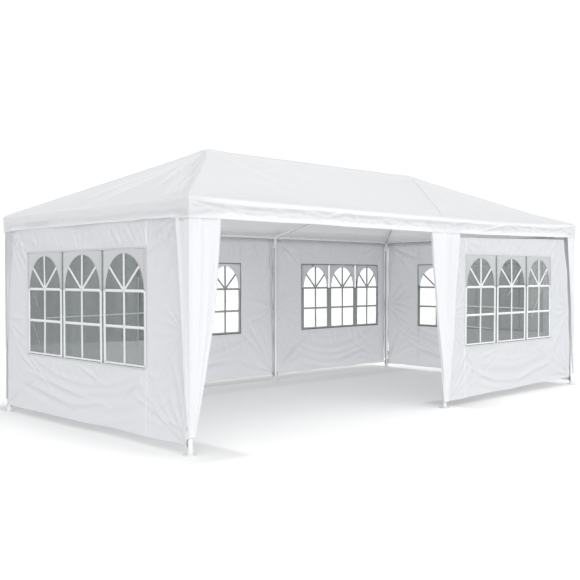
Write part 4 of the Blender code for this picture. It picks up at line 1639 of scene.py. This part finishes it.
def turned_mesh(name, profile, sides):
    """A solid of revolution about Z from (radius, height) pairs, top to bottom."""
    shape = bmesh.new()
    rings = []
    for radius, height in profile:
        if radius < 1e-6:
            rings.append([shape.verts.new((0, 0, height))])
            continue
        rings.append([shape.verts.new((radius * math.cos(2 * math.pi * step / sides),
                                       radius * math.sin(2 * math.pi * step / sides), height))
                      for step in range(sides)])
    for upper, lower in zip(rings, rings[1:]):
        for step in range(sides):
            following = (step + 1) % sides
            corners = dict.fromkeys((upper[step % len(upper)], lower[step % len(lower)],
                                     lower[following % len(lower)], upper[following % len(upper)]))
            if len(corners) > 2:
                shape.faces.new(tuple(corners))
    bmesh.ops.recalc_face_normals(shape, faces=shape.faces[:])
    return rounded(finished_mesh(name, shape))


def along_axis(start, direction):
    """A placement whose Z runs along a direction from a start point."""
    turn = Vector(direction).normalized().to_track_quat('Z', 'Y').to_matrix().to_4x4()
    return Matrix.Translation(Vector(start)) @ turn


def join_meshes(name, parts, material):
    """One object from (mesh, placement) pairs."""
    shape = bmesh.new()
    for mesh, placement in parts:
        piece = bmesh.new()
        piece.from_mesh(mesh)
        piece.transform(placement)
        holder = finished_mesh("part", piece)
        shape.from_mesh(holder)
        bpy.data.meshes.remove(holder)
    mesh = finished_mesh(name, shape)
    mesh.materials.append(material)
    return add_object(name, rounded(mesh))


def middle_of(node):
    """The middle of a node's box."""
    low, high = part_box(node)
    return (low + high) / 2


def hubs():
    """Centres of the connectors, read from the legs, rails and ridge pole."""
    rail = middle_of("eave_rail_end_left").z
    ridge_low, ridge_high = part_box("ridge_pole")
    reach = TUBE_START
    found = {
        ("peak", "left"): Vector((ridge_low.x - reach, 0.0, (ridge_low.z + ridge_high.z) / 2)),
        ("peak", "right"): Vector((ridge_high.x + reach, 0.0, (ridge_low.z + ridge_high.z) / 2)),
    }
    for row, place in LEGS:
        leg = middle_of(f"leg_{row}_{place}")
        found[row, place] = Vector((leg.x, leg.y, rail))
    return found


def tube_runs():
    """Each tube node with the two hubs that it joins."""
    runs = {"ridge_pole": (("peak", "left"), ("peak", "right"))}
    for row in ROWS:
        for end in ENDS:
            runs[f"eave_rail_{row}_{end}"] = ((row, end), (row, "mid"))
            runs[f"hip_rafter_{row}_{end}"] = ((row, end), ("peak", end))
        runs[f"mid_rafter_{row}"] = ((row, "mid"), ("peak", "right"))
    for end in ENDS:
        runs[f"eave_rail_end_{end}"] = (("front", end), ("back", end))
    return runs


def tube_mesh(name, length):
    """A round tube from Z 0 to its length, swaged where its two halves meet."""
    radius, middle = TUBE_RADIUS, length / 2
    return turned_mesh(name, [
        (0.0, length), (radius - 0.001, length), (radius, length - 0.001),
        (radius, middle + 0.036), (radius + 0.0016, middle + 0.032),
        (radius + 0.0016, middle + 0.002), (radius + 0.0006, middle),
        (radius + 0.0002, middle - 0.002), (radius, middle - 0.003),
        (radius, 0.001), (radius - 0.001, 0.0), (0.0, 0.0)], 28)


def build_tubes(look):
    """Rails, rafters and ridge pole, each with its swaged joint and spring button."""
    # Both coats carry painted shade under the tubes: deep under the rails and ridge pole, lighter
    # under the rafters
    coat = coat_finish("tube_coat", look.tube_colour, 0.4, painted_shade_share=0.95)
    rafter_coat = coat_finish("rafter_coat", look.tube_colour, 0.4, painted_shade_share=0.5)
    centres = hubs()
    button = turned_mesh("button", [(0, 0.0205), (0.0022, 0.0202), (0.0034, 0.019), (0.0034, 0.01),
                                    (0, 0.01)], 16)
    for node, (first, second) in tube_runs().items():
        start, end = centres[first], centres[second]
        run = end - start
        length = run.length - 2 * TUBE_START
        placement = along_axis(start + run.normalized() * TUBE_START, run)
        push = placement @ Matrix.Translation((0, 0, length / 2 + 0.02)) \
            @ Matrix.Rotation(math.radians(90), 4, 'Y')
        piece = join_meshes(f"{node}_tube", [(tube_mesh(node, length), placement), (button, push)],
                            rafter_coat if "rafter" in node else coat)
        settle(piece, "coated_tube", node)


def build_legs(look):
    """Two-part legs: the upper half slips into the flared lower half."""
    # Both leg coats carry painted shade on the side away from the light, faint on the front legs
    coat = coat_finish("leg_coat", look.tube_colour, 0.4, painted_shade_share=0.95, side=LEG_SHADED_SIDE)
    front_coat = coat_finish("front_leg_coat", look.tube_colour, 0.4, painted_shade_share=0.3, side=LEG_SHADED_SIDE)
    radius = TUBE_RADIUS
    up, down = SPLICE_HEIGHT + SPLICE_REACH, SPLICE_HEIGHT - SPLICE_REACH
    for row, place in LEGS:
        node = f"leg_{row}_{place}"
        low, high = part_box(node)
        swell = (high.x - low.x) / 2
        profile = [(0, high.z), (radius - 0.001, high.z), (radius, high.z - 0.001),
                   (radius, up + 0.001), (swell - 0.0008, up), (swell, up - 0.002),
                   (swell, down + 0.004), (radius + 0.0004, down - 0.004),
                   (radius, down - 0.006), (radius, low.z), (0, low.z)]
        centre = middle_of(node)
        piece = join_meshes(f"{node}_tube", [(turned_mesh(node, profile, 32),
                                              Matrix.Translation((centre.x, centre.y, 0)))],
                            front_coat if row == "front" else coat)
        settle(piece, "coated_tube", node)


def connector_meshes(centre, targets):
    """A welded hub with one rolled-edge sleeve towards each target."""
    outer = SLEEVE_RADIUS
    ball = turned_mesh("hub", [(HUB_RADIUS * math.sin(math.pi * step / 12),
                                HUB_RADIUS * math.cos(math.pi * step / 12))
                               for step in range(13)], 28)
    sleeve = turned_mesh("sleeve", [
        (TUBE_RADIUS + 0.0003, SLEEVE_REACH - 0.012), (TUBE_RADIUS + 0.0003, SLEEVE_REACH - 0.001),
        (TUBE_RADIUS + 0.0012, SLEEVE_REACH), (outer - 0.0006, SLEEVE_REACH),
        (outer, SLEEVE_REACH - 0.001), (outer, SLEEVE_REACH - 0.008),
        (outer - 0.0008, SLEEVE_REACH - 0.010), (outer - 0.0008, 0.006), (outer - 0.004, 0.004),
        (0.004, 0.004)], 28)
    parts = [(ball, Matrix.Translation(centre))]
    for target in targets:
        parts.append((sleeve, along_axis(centre, target - centre)))
    return parts


def build_connectors(look):
    """Corner, middle and peak connectors."""
    # The connector coat carries painted shade on its underside
    coat = coat_finish("connector_coat", look.tube_colour, 0.45, painted_shade_share=0.6)
    centres = hubs()
    down = Vector((0, 0, -1))
    joined = {}
    for row in ROWS:
        other = ROWS[1 - ROWS.index(row)]
        for end in ENDS:
            hub = centres[row, end]
            joined[f"corner_connector_{row}_{end}"] = (
                hub, [centres[row, "mid"], centres[other, end], hub + down, centres["peak", end]])
        hub = centres[row, "mid"]
        joined[f"mid_connector_{row}"] = (
            hub, [centres[row, "left"], centres[row, "right"], hub + down,
                  centres["peak", "right"]])
    for end in ENDS:
        hub = centres["peak", end]
        far = ENDS[1 - ENDS.index(end)]
        targets = [centres["peak", far], centres["front", end], centres["back", end]]
        if end == "right":
            targets += [centres["front", "mid"], centres["back", "mid"]]
        joined[f"peak_connector_{end}"] = (hub, targets)
    for node, (hub, targets) in joined.items():
        piece = join_meshes(f"{node}_weldment", connector_meshes(hub, targets), coat)
        settle(piece, "connector_steel", node)


PEG_HOLES = 3
PEG_HOLE_RADIUS = 0.0045
PEG_CIRCLE = 0.043
FIRST_PEG_TURN = math.radians(30)
COLLAR_RADIUS = 0.0225


def cut_peg_holes(piece, x, y):
    """Cut the peg holes through a base plate that stands at a place."""
    cutters = []
    for number in range(PEG_HOLES):
        turn = 2 * math.pi * number / PEG_HOLES + FIRST_PEG_TURN
        hole = turned_mesh("hole", [(0, 0.02), (PEG_HOLE_RADIUS, 0.02),
                                    (PEG_HOLE_RADIUS, -0.01), (0, -0.01)], 20)
        cutter = add_object("hole", hole)
        cutter.location = (x + PEG_CIRCLE * math.cos(turn), y + PEG_CIRCLE * math.sin(turn), 0)
        step = piece.modifiers.new("hole", 'BOOLEAN')
        step.operation = 'DIFFERENCE'
        step.object = cutter
        cutters.append(cutter)
    bpy.context.view_layer.update()
    bake_modifiers(piece)
    for cutter in cutters:
        bpy.data.objects.remove(cutter)


def build_feet(look):
    """Pressed base plates with a domed rim, a socket and three peg holes."""
    coat = coat_finish("plate_coat", look.plate_colour, 0.42)
    low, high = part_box("foot_front_left")
    rim, collar = (high.x - low.x) / 2, COLLAR_RADIUS
    plate = turned_mesh("plate", [
        (0.0, 0.005), (TUBE_RADIUS + 0.0006, 0.005), (TUBE_RADIUS + 0.0006, high.z - 0.001),
        (TUBE_RADIUS + 0.0014, high.z), (collar - 0.0008, high.z), (collar, high.z - 0.0012),
        (collar, 0.011), (collar + 0.0012, 0.0075), (collar + 0.004, 0.0062),
        (rim - 0.006, 0.0052), (rim - 0.0015, 0.0046), (rim, 0.003), (rim, 0.0008),
        (rim - 0.0008, 0.0), (0.0, 0.0)], 64)
    for row, place in LEGS:
        node = f"foot_{row}_{place}"
        centre = middle_of(node)
        piece = join_meshes(f"{node}_plate",
                            [(plate, Matrix.Translation((centre.x, centre.y, 0)))], coat)
        cut_peg_holes(piece, centre.x, centre.y)
        settle(piece, "plate_steel", node)


# The corner legs with a clamp knob, and the way that it points
KNOBS = (("back", "left", (0, 1, 0)), ("front", "right", (1, 0, 0)),
         ("back", "right", (1, 0, 0)), ("back", "right", (0, 1, 0)))


def build_knobs(look):
    """Clamp knobs that pinch the legs in their corner sleeves."""
    plastic = coat_finish("knob_plastic", look.knob_colour, 0.45)
    reach = HALF_LENGTH - middle_of("leg_front_right").x
    knob = turned_mesh("knob", [
        (0, reach + 0.019), (0.0045, reach + 0.0185), (0.0062, reach + 0.0165),
        (0.0066, reach + 0.006), (0.0045, reach + 0.004), (0.0026, reach + 0.002),
        (0.0026, TUBE_RADIUS), (0, TUBE_RADIUS)], 20)
    for row, end, way in KNOBS:
        leg = middle_of(f"leg_{row}_{end}")
        start = Vector((leg.x, leg.y, VALANCE_BOTTOM - 0.014))
        side = "x" if way[0] else "y"
        piece = join_meshes(f"clamp_knob_{row}_{end}_{side}", [(knob, along_axis(start, way))],
                            plastic)
        settle(piece, "connector_steel")


LOOP_STEPS = 32
LOOP_SIDES = 10


def loop_mesh(name, radius, thick):
    """A closed loop of flattened cord about Z."""
    shape = bmesh.new()
    ring = []
    for step in range(LOOP_STEPS):
        angle = 2 * math.pi * step / LOOP_STEPS
        ring.append([shape.verts.new(((radius + thick * math.cos(turn)) * math.cos(angle),
                                      (radius + thick * math.cos(turn)) * math.sin(angle),
                                      thick * math.sin(turn) * 1.6))
                     for turn in (2 * math.pi * part / LOOP_SIDES for part in range(LOOP_SIDES))])
    for step in range(LOOP_STEPS):
        following = ring[(step + 1) % LOOP_STEPS]
        for part in range(LOOP_SIDES):
            above = (part + 1) % LOOP_SIDES
            shape.faces.new((ring[step][part], following[part], following[above],
                             ring[step][above]))
    bmesh.ops.recalc_face_normals(shape, faces=shape.faces[:])
    return finished_mesh(name, shape)


# Heights of the dark loops at the foot of an end wall and of a long wall, which stand in for the
# shade beside the legs
SHADE_LOOP_HEIGHTS = {"end": (0.083, 0.2), "long": (0.073,)}
TIE_DROP = 0.009
QUARTER = math.radians(90)


def wall_legs(name):
    """The two legs that a wall is tied to."""
    row, place = name.split("_")
    if row == "end":
        return (("front", place), ("back", place))
    return ((row, "mid"), (row, place))


def build_ties(look):
    """Elastic loops round the legs, and dark loops at the walls' lower corners, put there to stand
    in for shade beside the legs.
    """
    elastic = tape_finish("elastic", (0.82, 0.83, 0.84), 0.6)
    shade_loop_finish = coat_finish("strap_webbing", look.knob_colour, 0.7)
    loop = loop_mesh("loop", TUBE_RADIUS + 0.0019, 0.0016)
    strap = loop_mesh("strap", 0.0085, 0.0021)
    for name in WALLS:
        loops, shade_loops = [], []
        wall = Wall(name, 0, 0.0)
        kind = "long" if wall.lengthwise else "end"
        turn = Matrix.Rotation(QUARTER, 4, 'X')
        if not wall.lengthwise:
            turn = Matrix.Rotation(QUARTER, 4, 'Z') @ turn
        middle = (wall.low + wall.high) / 2
        for row, place in wall_legs(name):
            leg = middle_of(f"leg_{row}_{place}")
            drop = TIE_DROP if kind == "end" or place == "mid" and name.endswith("left") else 0
            for height in TIE_HEIGHTS:
                loops.append((loop, Matrix.Translation((leg.x, leg.y, height - drop))))
            toward = Vector((middle - leg.x, 0, 0) if wall.lengthwise else (0, middle - leg.y, 0))
            toward.normalize()
            # The dark loops stand in for the shade in the gaps beside the legs
            for height in SHADE_LOOP_HEIGHTS[kind]:
                spot = Vector((leg.x, leg.y, height)) + toward * (TUBE_RADIUS + 0.012)
                shade_loops.append((strap, Matrix.Translation(spot) @ turn
                               @ Matrix.Diagonal((1.0, 3.0, 1.0, 1.0))))
        settle(join_meshes(f"{name}_tie_loops", loops, elastic), "wall_fabric")
        settle(join_meshes(f"{name}_straps", shade_loops, shade_loop_finish), "wall_fabric")


# Distance between the tabs that hang a wall, their width and their stand-off from the rail
TAB_SPACING = 0.55
TAB_WIDTH = 0.025
TAB_GAP = 0.0012


def build_rail_tabs(look):
    """Cloth tabs that hang each wall over its eave rail."""
    cloth = tape_finish("tab_cloth", look.wall_colour, 0.55)
    for name in WALLS:
        wall = Wall(name, 0, 0.0)
        rail = middle_of(f"eave_rail_{name}")
        axis = rail.y if wall.lengthwise else rail.x
        radius = TUBE_RADIUS + TAB_GAP
        cutting = Cutting()
        count = max(3, int((wall.high - wall.low) / TAB_SPACING))
        for number in range(count):
            u = wall.low + (wall.high - wall.low) * (number + 0.5) / count
            angle = np.linspace(-0.2, 1.45, 17) * math.pi
            sheet_gap = abs(wall.plane - axis) - 0.002
            out = np.concatenate([[sheet_gap, sheet_gap], radius * np.cos(angle)])
            up = np.concatenate([[-0.045, -0.03], radius * np.sin(angle)])
            edge = np.linspace(-TAB_WIDTH / 2, TAB_WIDTH / 2, 3)
            spread, place = np.meshgrid(edge, out, indexing='ij')
            _, height = np.meshgrid(edge, up, indexing='ij')
            points = wall.points(u + spread, axis + wall.sign * place, rail.z + height)
            cutting.add(points, spread, height)
        settle(cutting.sew(f"{name}_rail_tabs", cloth, 0.0008, 0.0), "wall_fabric")


# The photograph's viewpoint, turned by radians, and its focal length and width in pixels
CAMERA_PLACE = (-6.8751, -6.536, 1.3412)
CAMERA_YAW = 0.7747
CAMERA_PITCH = -0.0157
CAMERA_ROLL = -0.0015
FOCAL_PIXELS = 846.31
FRAME_PIXELS = 580
SENSOR = 36.0

# The floor, which starts to fade at a distance from its middle
FLOOR_RADIUS = 8.5
FLOOR_FADE = 6.4
FLOOR_COLOUR = (0.93, 0.93, 0.93)
# Colour of the shadow painted on the floor
SHADE_COLOUR = (0.0, 0.0, 0.0)

# Shadow painted into the floor's colour beside each wall: from well inside it to clear of it, and
# its depth
NEAR_SHADE = (-0.45, -0.3, -0.12, 0.58)
FAR_SHADE = (-0.1, 0.02, 0.1, 0.6)
INNER_SHADE = (-0.75, -0.4, -0.1, 0.02)
LEFT_SHADE = 0.22
FRONT_SHADES = (0.29, 0.09)
BACK_SHADES = (0.43, 0.38)
BACK_INNER_SHADE = 0.13
RIGHT_SHADE = 0.06

# The key light's turn from the front, its rise and its spread, in degrees
KEY_TURN = 58
KEY_RISE = 30
KEY_SOFTNESS = 24

# Where the studio's four soft banks of light hang
STUDIO_FRONT = (-0.2, -0.97, 0.15)
STUDIO_RIGHT = (0.95, -0.2, 0.25)
STUDIO_LEFT = (-0.97, 0.2, 0.15)
STUDIO_TOP = (0.0, 0.0, 1.0)


def place_camera():
    """The camera at the photograph's viewpoint."""
    data = bpy.data.cameras.new("camera")
    data.sensor_width = SENSOR
    data.lens = FOCAL_PIXELS / FRAME_PIXELS * SENSOR
    data.clip_end = 200
    yaw, pitch, roll = CAMERA_YAW, CAMERA_PITCH, CAMERA_ROLL
    ahead = Vector((math.sin(yaw) * math.cos(pitch), math.cos(yaw) * math.cos(pitch),
                    math.sin(pitch)))
    right = Vector((math.cos(yaw), -math.sin(yaw), 0))
    up = right.cross(ahead)
    level = math.cos(roll) * right + math.sin(roll) * up
    upright = -math.sin(roll) * right + math.cos(roll) * up
    turn = Matrix((level, upright, -ahead)).transposed().to_4x4()
    camera = add_object("camera", data)
    camera.matrix_world = Matrix.Translation(CAMERA_PLACE) @ turn
    bpy.context.scene.camera = camera


def light_world(look):
    """Soft light, dimmer from below, and a backdrop that is brighter behind film."""
    world = bpy.data.worlds.new("studio")
    world.use_nodes = True
    bpy.context.scene.world = world
    finish = Finish(world.node_tree)
    seen = finish.node('ShaderNodeLightPath', {}, {}, "Is Camera Ray")
    faces = finish.node('ShaderNodeLightPath', {}, {}, "Transparent Depth")
    passed = (faces > 0.5) * (faces < 2.5)
    way = finish.place("Generated")
    above = finish.clamped(finish.axis(way, "Z") * 6.0 + 0.5)
    cast = above * (look.ambient - look.ground) + look.ground
    for toward, strength in ((STUDIO_FRONT, look.front_bank), (STUDIO_RIGHT, look.right_bank),
                             (STUDIO_LEFT, look.left_bank), (STUDIO_TOP, look.top_bank)):
        lobe = finish.clamped(finish.facing(way, toward))
        cast = lobe * lobe * strength + cast
    strength = seen * (passed * look.window_glow + look.backdrop) \
        + (1.0 - seen) * cast
    light = finish.node('ShaderNodeBackground', {}, {"Color": (1, 1, 1), "Strength": strength})
    finish.node('ShaderNodeOutputWorld', {}, {"Surface": light})


def lay_floor(look):
    """A round white floor that fades into the backdrop, with shadows painted into its colour beside
    the walls.
    """
    material, finish = new_material("studio_floor")
    place = finish.place("Object")
    reach = finish.node('ShaderNodeVectorMath', {"operation": 'LENGTH'}, {0: place}, "Value")
    fade = finish.eased(reach, FLOOR_FADE, FLOOR_RADIUS - 0.2)
    across, deep = finish.axis(place, "X"), finish.axis(place, "Y")

    def beside(beyond, limits):
        """Shade that comes in between the first two limits and goes between the others."""
        return finish.eased(beyond, limits[0], limits[1]) \
            * (1.0 - finish.eased(beyond, limits[2], limits[3]))

    def within(along, low, high):
        """Shade along a wall only, with soft ends."""
        return finish.eased(along, low - 0.15, low + 0.1) \
            * (1.0 - finish.eased(along, high - 0.1, high + 0.15))

    def changing(end, shades):
        """A depth of shade that goes from one value to another along a long side."""
        return finish.eased(across, 0.5, end) * (shades[1] - shades[0]) + shades[0]

    # Painted shadow: the floor's colour darkens beside the walls
    left = beside(0.0 - across - HALF_LENGTH, NEAR_SHADE) \
        * within(deep, -HALF_WIDTH - 0.3, HALF_WIDTH) * LEFT_SHADE
    front = beside(0.0 - deep - HALF_WIDTH, NEAR_SHADE) * within(across, 0.42, HALF_LENGTH) \
        * changing(1.5, FRONT_SHADES)
    back = beside(deep - HALF_WIDTH, FAR_SHADE) * within(across, -HALF_LENGTH, HALF_LENGTH) \
        * changing(2.4, BACK_SHADES)
    back = finish.widest(back, beside(deep - HALF_WIDTH, INNER_SHADE)
                         * within(across, -HALF_LENGTH, HALF_LENGTH) * BACK_INNER_SHADE)
    right = beside(across - HALF_LENGTH, FAR_SHADE) * within(deep, -HALF_WIDTH, HALF_WIDTH) \
        * RIGHT_SHADE
    shaded = finish.widest(finish.widest(left, front), finish.widest(back, right))
    solid = finish.node('ShaderNodeBsdfPrincipled', {}, {
        "Base Color": finish.mix(shaded, FLOOR_COLOUR, SHADE_COLOUR),
        "Roughness": 0.85, "Specular IOR Level": 0.2,
        "Emission Color": (1, 1, 1), "Emission Strength": look.floor_lift})
    clear = finish.node('ShaderNodeBsdfTransparent', {}, {})
    blend = finish.node('ShaderNodeMixShader', {}, {0: fade, 1: solid, 2: clear})
    finish.node('ShaderNodeOutputMaterial', {}, {"Surface": blend})
    shape = bmesh.new()
    bmesh.ops.create_circle(shape, cap_ends=True, segments=96, radius=FLOOR_RADIUS)
    mesh = finished_mesh("floor", shape)
    mesh.materials.append(material)
    floor = add_object("floor", mesh)
    floor.visible_diffuse = False
    floor.visible_glossy = False
    floor.visible_transmission = False
    floor.visible_shadow = False


def hang_key_light(look):
    """A broad soft light from the front right."""
    data = bpy.data.lights.new("key", 'SUN')
    data.energy = look.key
    data.angle = math.radians(KEY_SOFTNESS)
    key = add_object("key", data)
    turn, rise = math.radians(KEY_TURN), math.radians(KEY_RISE)
    source = Vector((math.sin(turn) * math.cos(rise), -math.cos(turn) * math.cos(rise),
                     math.sin(rise)))
    key.rotation_mode = 'QUATERNION'
    key.rotation_quaternion = source.to_track_quat('Z', 'Y')


class TENT_OT_stage(bpy.types.Operator):
    """Place the camera, the floor and the studio light"""
    bl_idname = "tent.stage"
    bl_label = "Stage"

    def execute(self, context):
        look = context.scene.tent_stage
        place_camera()
        light_world(look)
        lay_floor(look)
        hang_key_light(look)
        context.scene.view_settings.view_transform = 'Standard'
        return {'FINISHED'}


class TENT_OT_canopy(bpy.types.Operator):
    """Sew the canopy with its valance and seams"""
    bl_idname = "tent.canopy"
    bl_label = "Canopy"

    def execute(self, context):
        build_canopy(context.scene.tent_cloth)
        return {'FINISHED'}


class TENT_OT_leg_covers(bpy.types.Operator):
    """Hang the tapering covers round the legs"""
    bl_idname = "tent.leg_covers"
    bl_label = "Leg covers"

    def execute(self, context):
        build_leg_covers(context.scene.tent_cloth)
        return {'FINISHED'}


class TENT_OT_walls(bpy.types.Operator):
    """Hang the window walls with their film, print and bars"""
    bl_idname = "tent.walls"
    bl_label = "Window walls"

    def execute(self, context):
        cloth_look = context.scene.tent_cloth
        window_look = context.scene.tent_window
        cloth = cloth_finish("wall_cloth", cloth_look.wall_colour, cloth_look.weave,
                             cloth_look.hem, cloth_look.glow)
        tape = tape_finish("binding_tape", cloth_look.wall_colour, 0.45, cloth_look.glow * 0.6)
        seam_tape = tape_finish("wall_seam_tape", (0.9, 0.91, 0.92), 0.4)
        # Each wall's film is tinted lighter or darker as painted light and shade for what lies
        # behind it
        films = {name: film_finish(f"window_film_{name}", tinted(window_look.film_colour, tint),
                                   window_look.film_cover * cover,
                                   None if name == "far" else name)
                 for name, (tint, cover) in FILM_PAINTED_TONES.items()}
        finishes = {
            "crease": tape_finish("film_crease", (0.36, 0.385, 0.385), 0.3),
            "bars": tape_finish("bar_print", (0.80, 0.81, 0.82), 0.35),
            "backs": tape_finish("print_backs", (0.36, 0.375, 0.375), 0.5),
        }
        for number, name in enumerate(WALLS):
            wall = Wall(name, FIRST_WALL_SEED + SEEDS_A_WALL * number, cloth_look.fold_depth)
            wall_cloth(wall, cloth_look, cloth)
            wall_tapes(wall, cloth_look, tape, seam_tape)
            finishes["film"] = films.get(name, films["far"])
            # Each wall's spandrels are painted lighter or darker for the light behind them
            finishes["frost"] = tape_finish(
                f"frosted_print_{name}", tinted(window_look.print_colour, SPANDREL_PAINTED_TONES[name]), 0.4)
            build_windows(wall, window_look, finishes)
        return {'FINISHED'}


class TENT_OT_tubes(bpy.types.Operator):
    """Make the legs, rails, rafters and ridge pole"""
    bl_idname = "tent.tubes"
    bl_label = "Tubes"

    def execute(self, context):
        build_tubes(context.scene.tent_frame)
        build_legs(context.scene.tent_frame)
        return {'FINISHED'}


class TENT_OT_connectors(bpy.types.Operator):
    """Make the welded connectors and their clamp knobs"""
    bl_idname = "tent.connectors"
    bl_label = "Connectors"

    def execute(self, context):
        build_connectors(context.scene.tent_frame)
        build_knobs(context.scene.tent_frame)
        return {'FINISHED'}


class TENT_OT_feet(bpy.types.Operator):
    """Make the base plates"""
    bl_idname = "tent.feet"
    bl_label = "Base plates"

    def execute(self, context):
        build_feet(context.scene.tent_frame)
        return {'FINISHED'}


class TENT_OT_ties(bpy.types.Operator):
    """Tie the walls to the legs and rails"""
    bl_idname = "tent.ties"
    bl_label = "Ties and tabs"

    def execute(self, context):
        build_ties(context.scene.tent_frame)
        build_rail_tabs(context.scene.tent_cloth)
        return {'FINISHED'}


MAKERS = (TENT_OT_stage, TENT_OT_canopy, TENT_OT_leg_covers, TENT_OT_walls, TENT_OT_tubes,
          TENT_OT_connectors, TENT_OT_feet, TENT_OT_ties)
LOOKS = {"tent_cloth": ClothLook, "tent_window": WindowLook, "tent_frame": FrameLook,
         "tent_stage": StageLook}


class TENT_PT_panel(bpy.types.Panel):
    """Lists the tent's pieces and their looks"""
    bl_idname = "TENT_PT_panel"
    bl_label = "Marquee tent"
    bl_space_type = 'VIEW_3D'
    bl_region_type = 'UI'
    bl_category = "Tent"

    def draw(self, context):
        for maker in MAKERS:
            self.layout.operator(maker.bl_idname)
        for name, look in LOOKS.items():
            box = self.layout.box()
            for field in look.__annotations__:
                box.prop(getattr(context.scene, name), field)


def register():
    for item in (*LOOKS.values(), *MAKERS, TENT_PT_panel):
        bpy.utils.register_class(item)
    for name, look in LOOKS.items():
        setattr(bpy.types.Scene, name, bpy.props.PointerProperty(type=look))


def unregister():
    for name in LOOKS:
        delattr(bpy.types.Scene, name)
    for item in (TENT_PT_panel, *reversed(MAKERS), *LOOKS.values()):
        bpy.utils.unregister_class(item)


def main():
    register()
    for maker in MAKERS:
        group, name = maker.bl_idname.split(".")
        getattr(getattr(bpy.ops, group), name)()


if __name__ == "__main__":
    main()
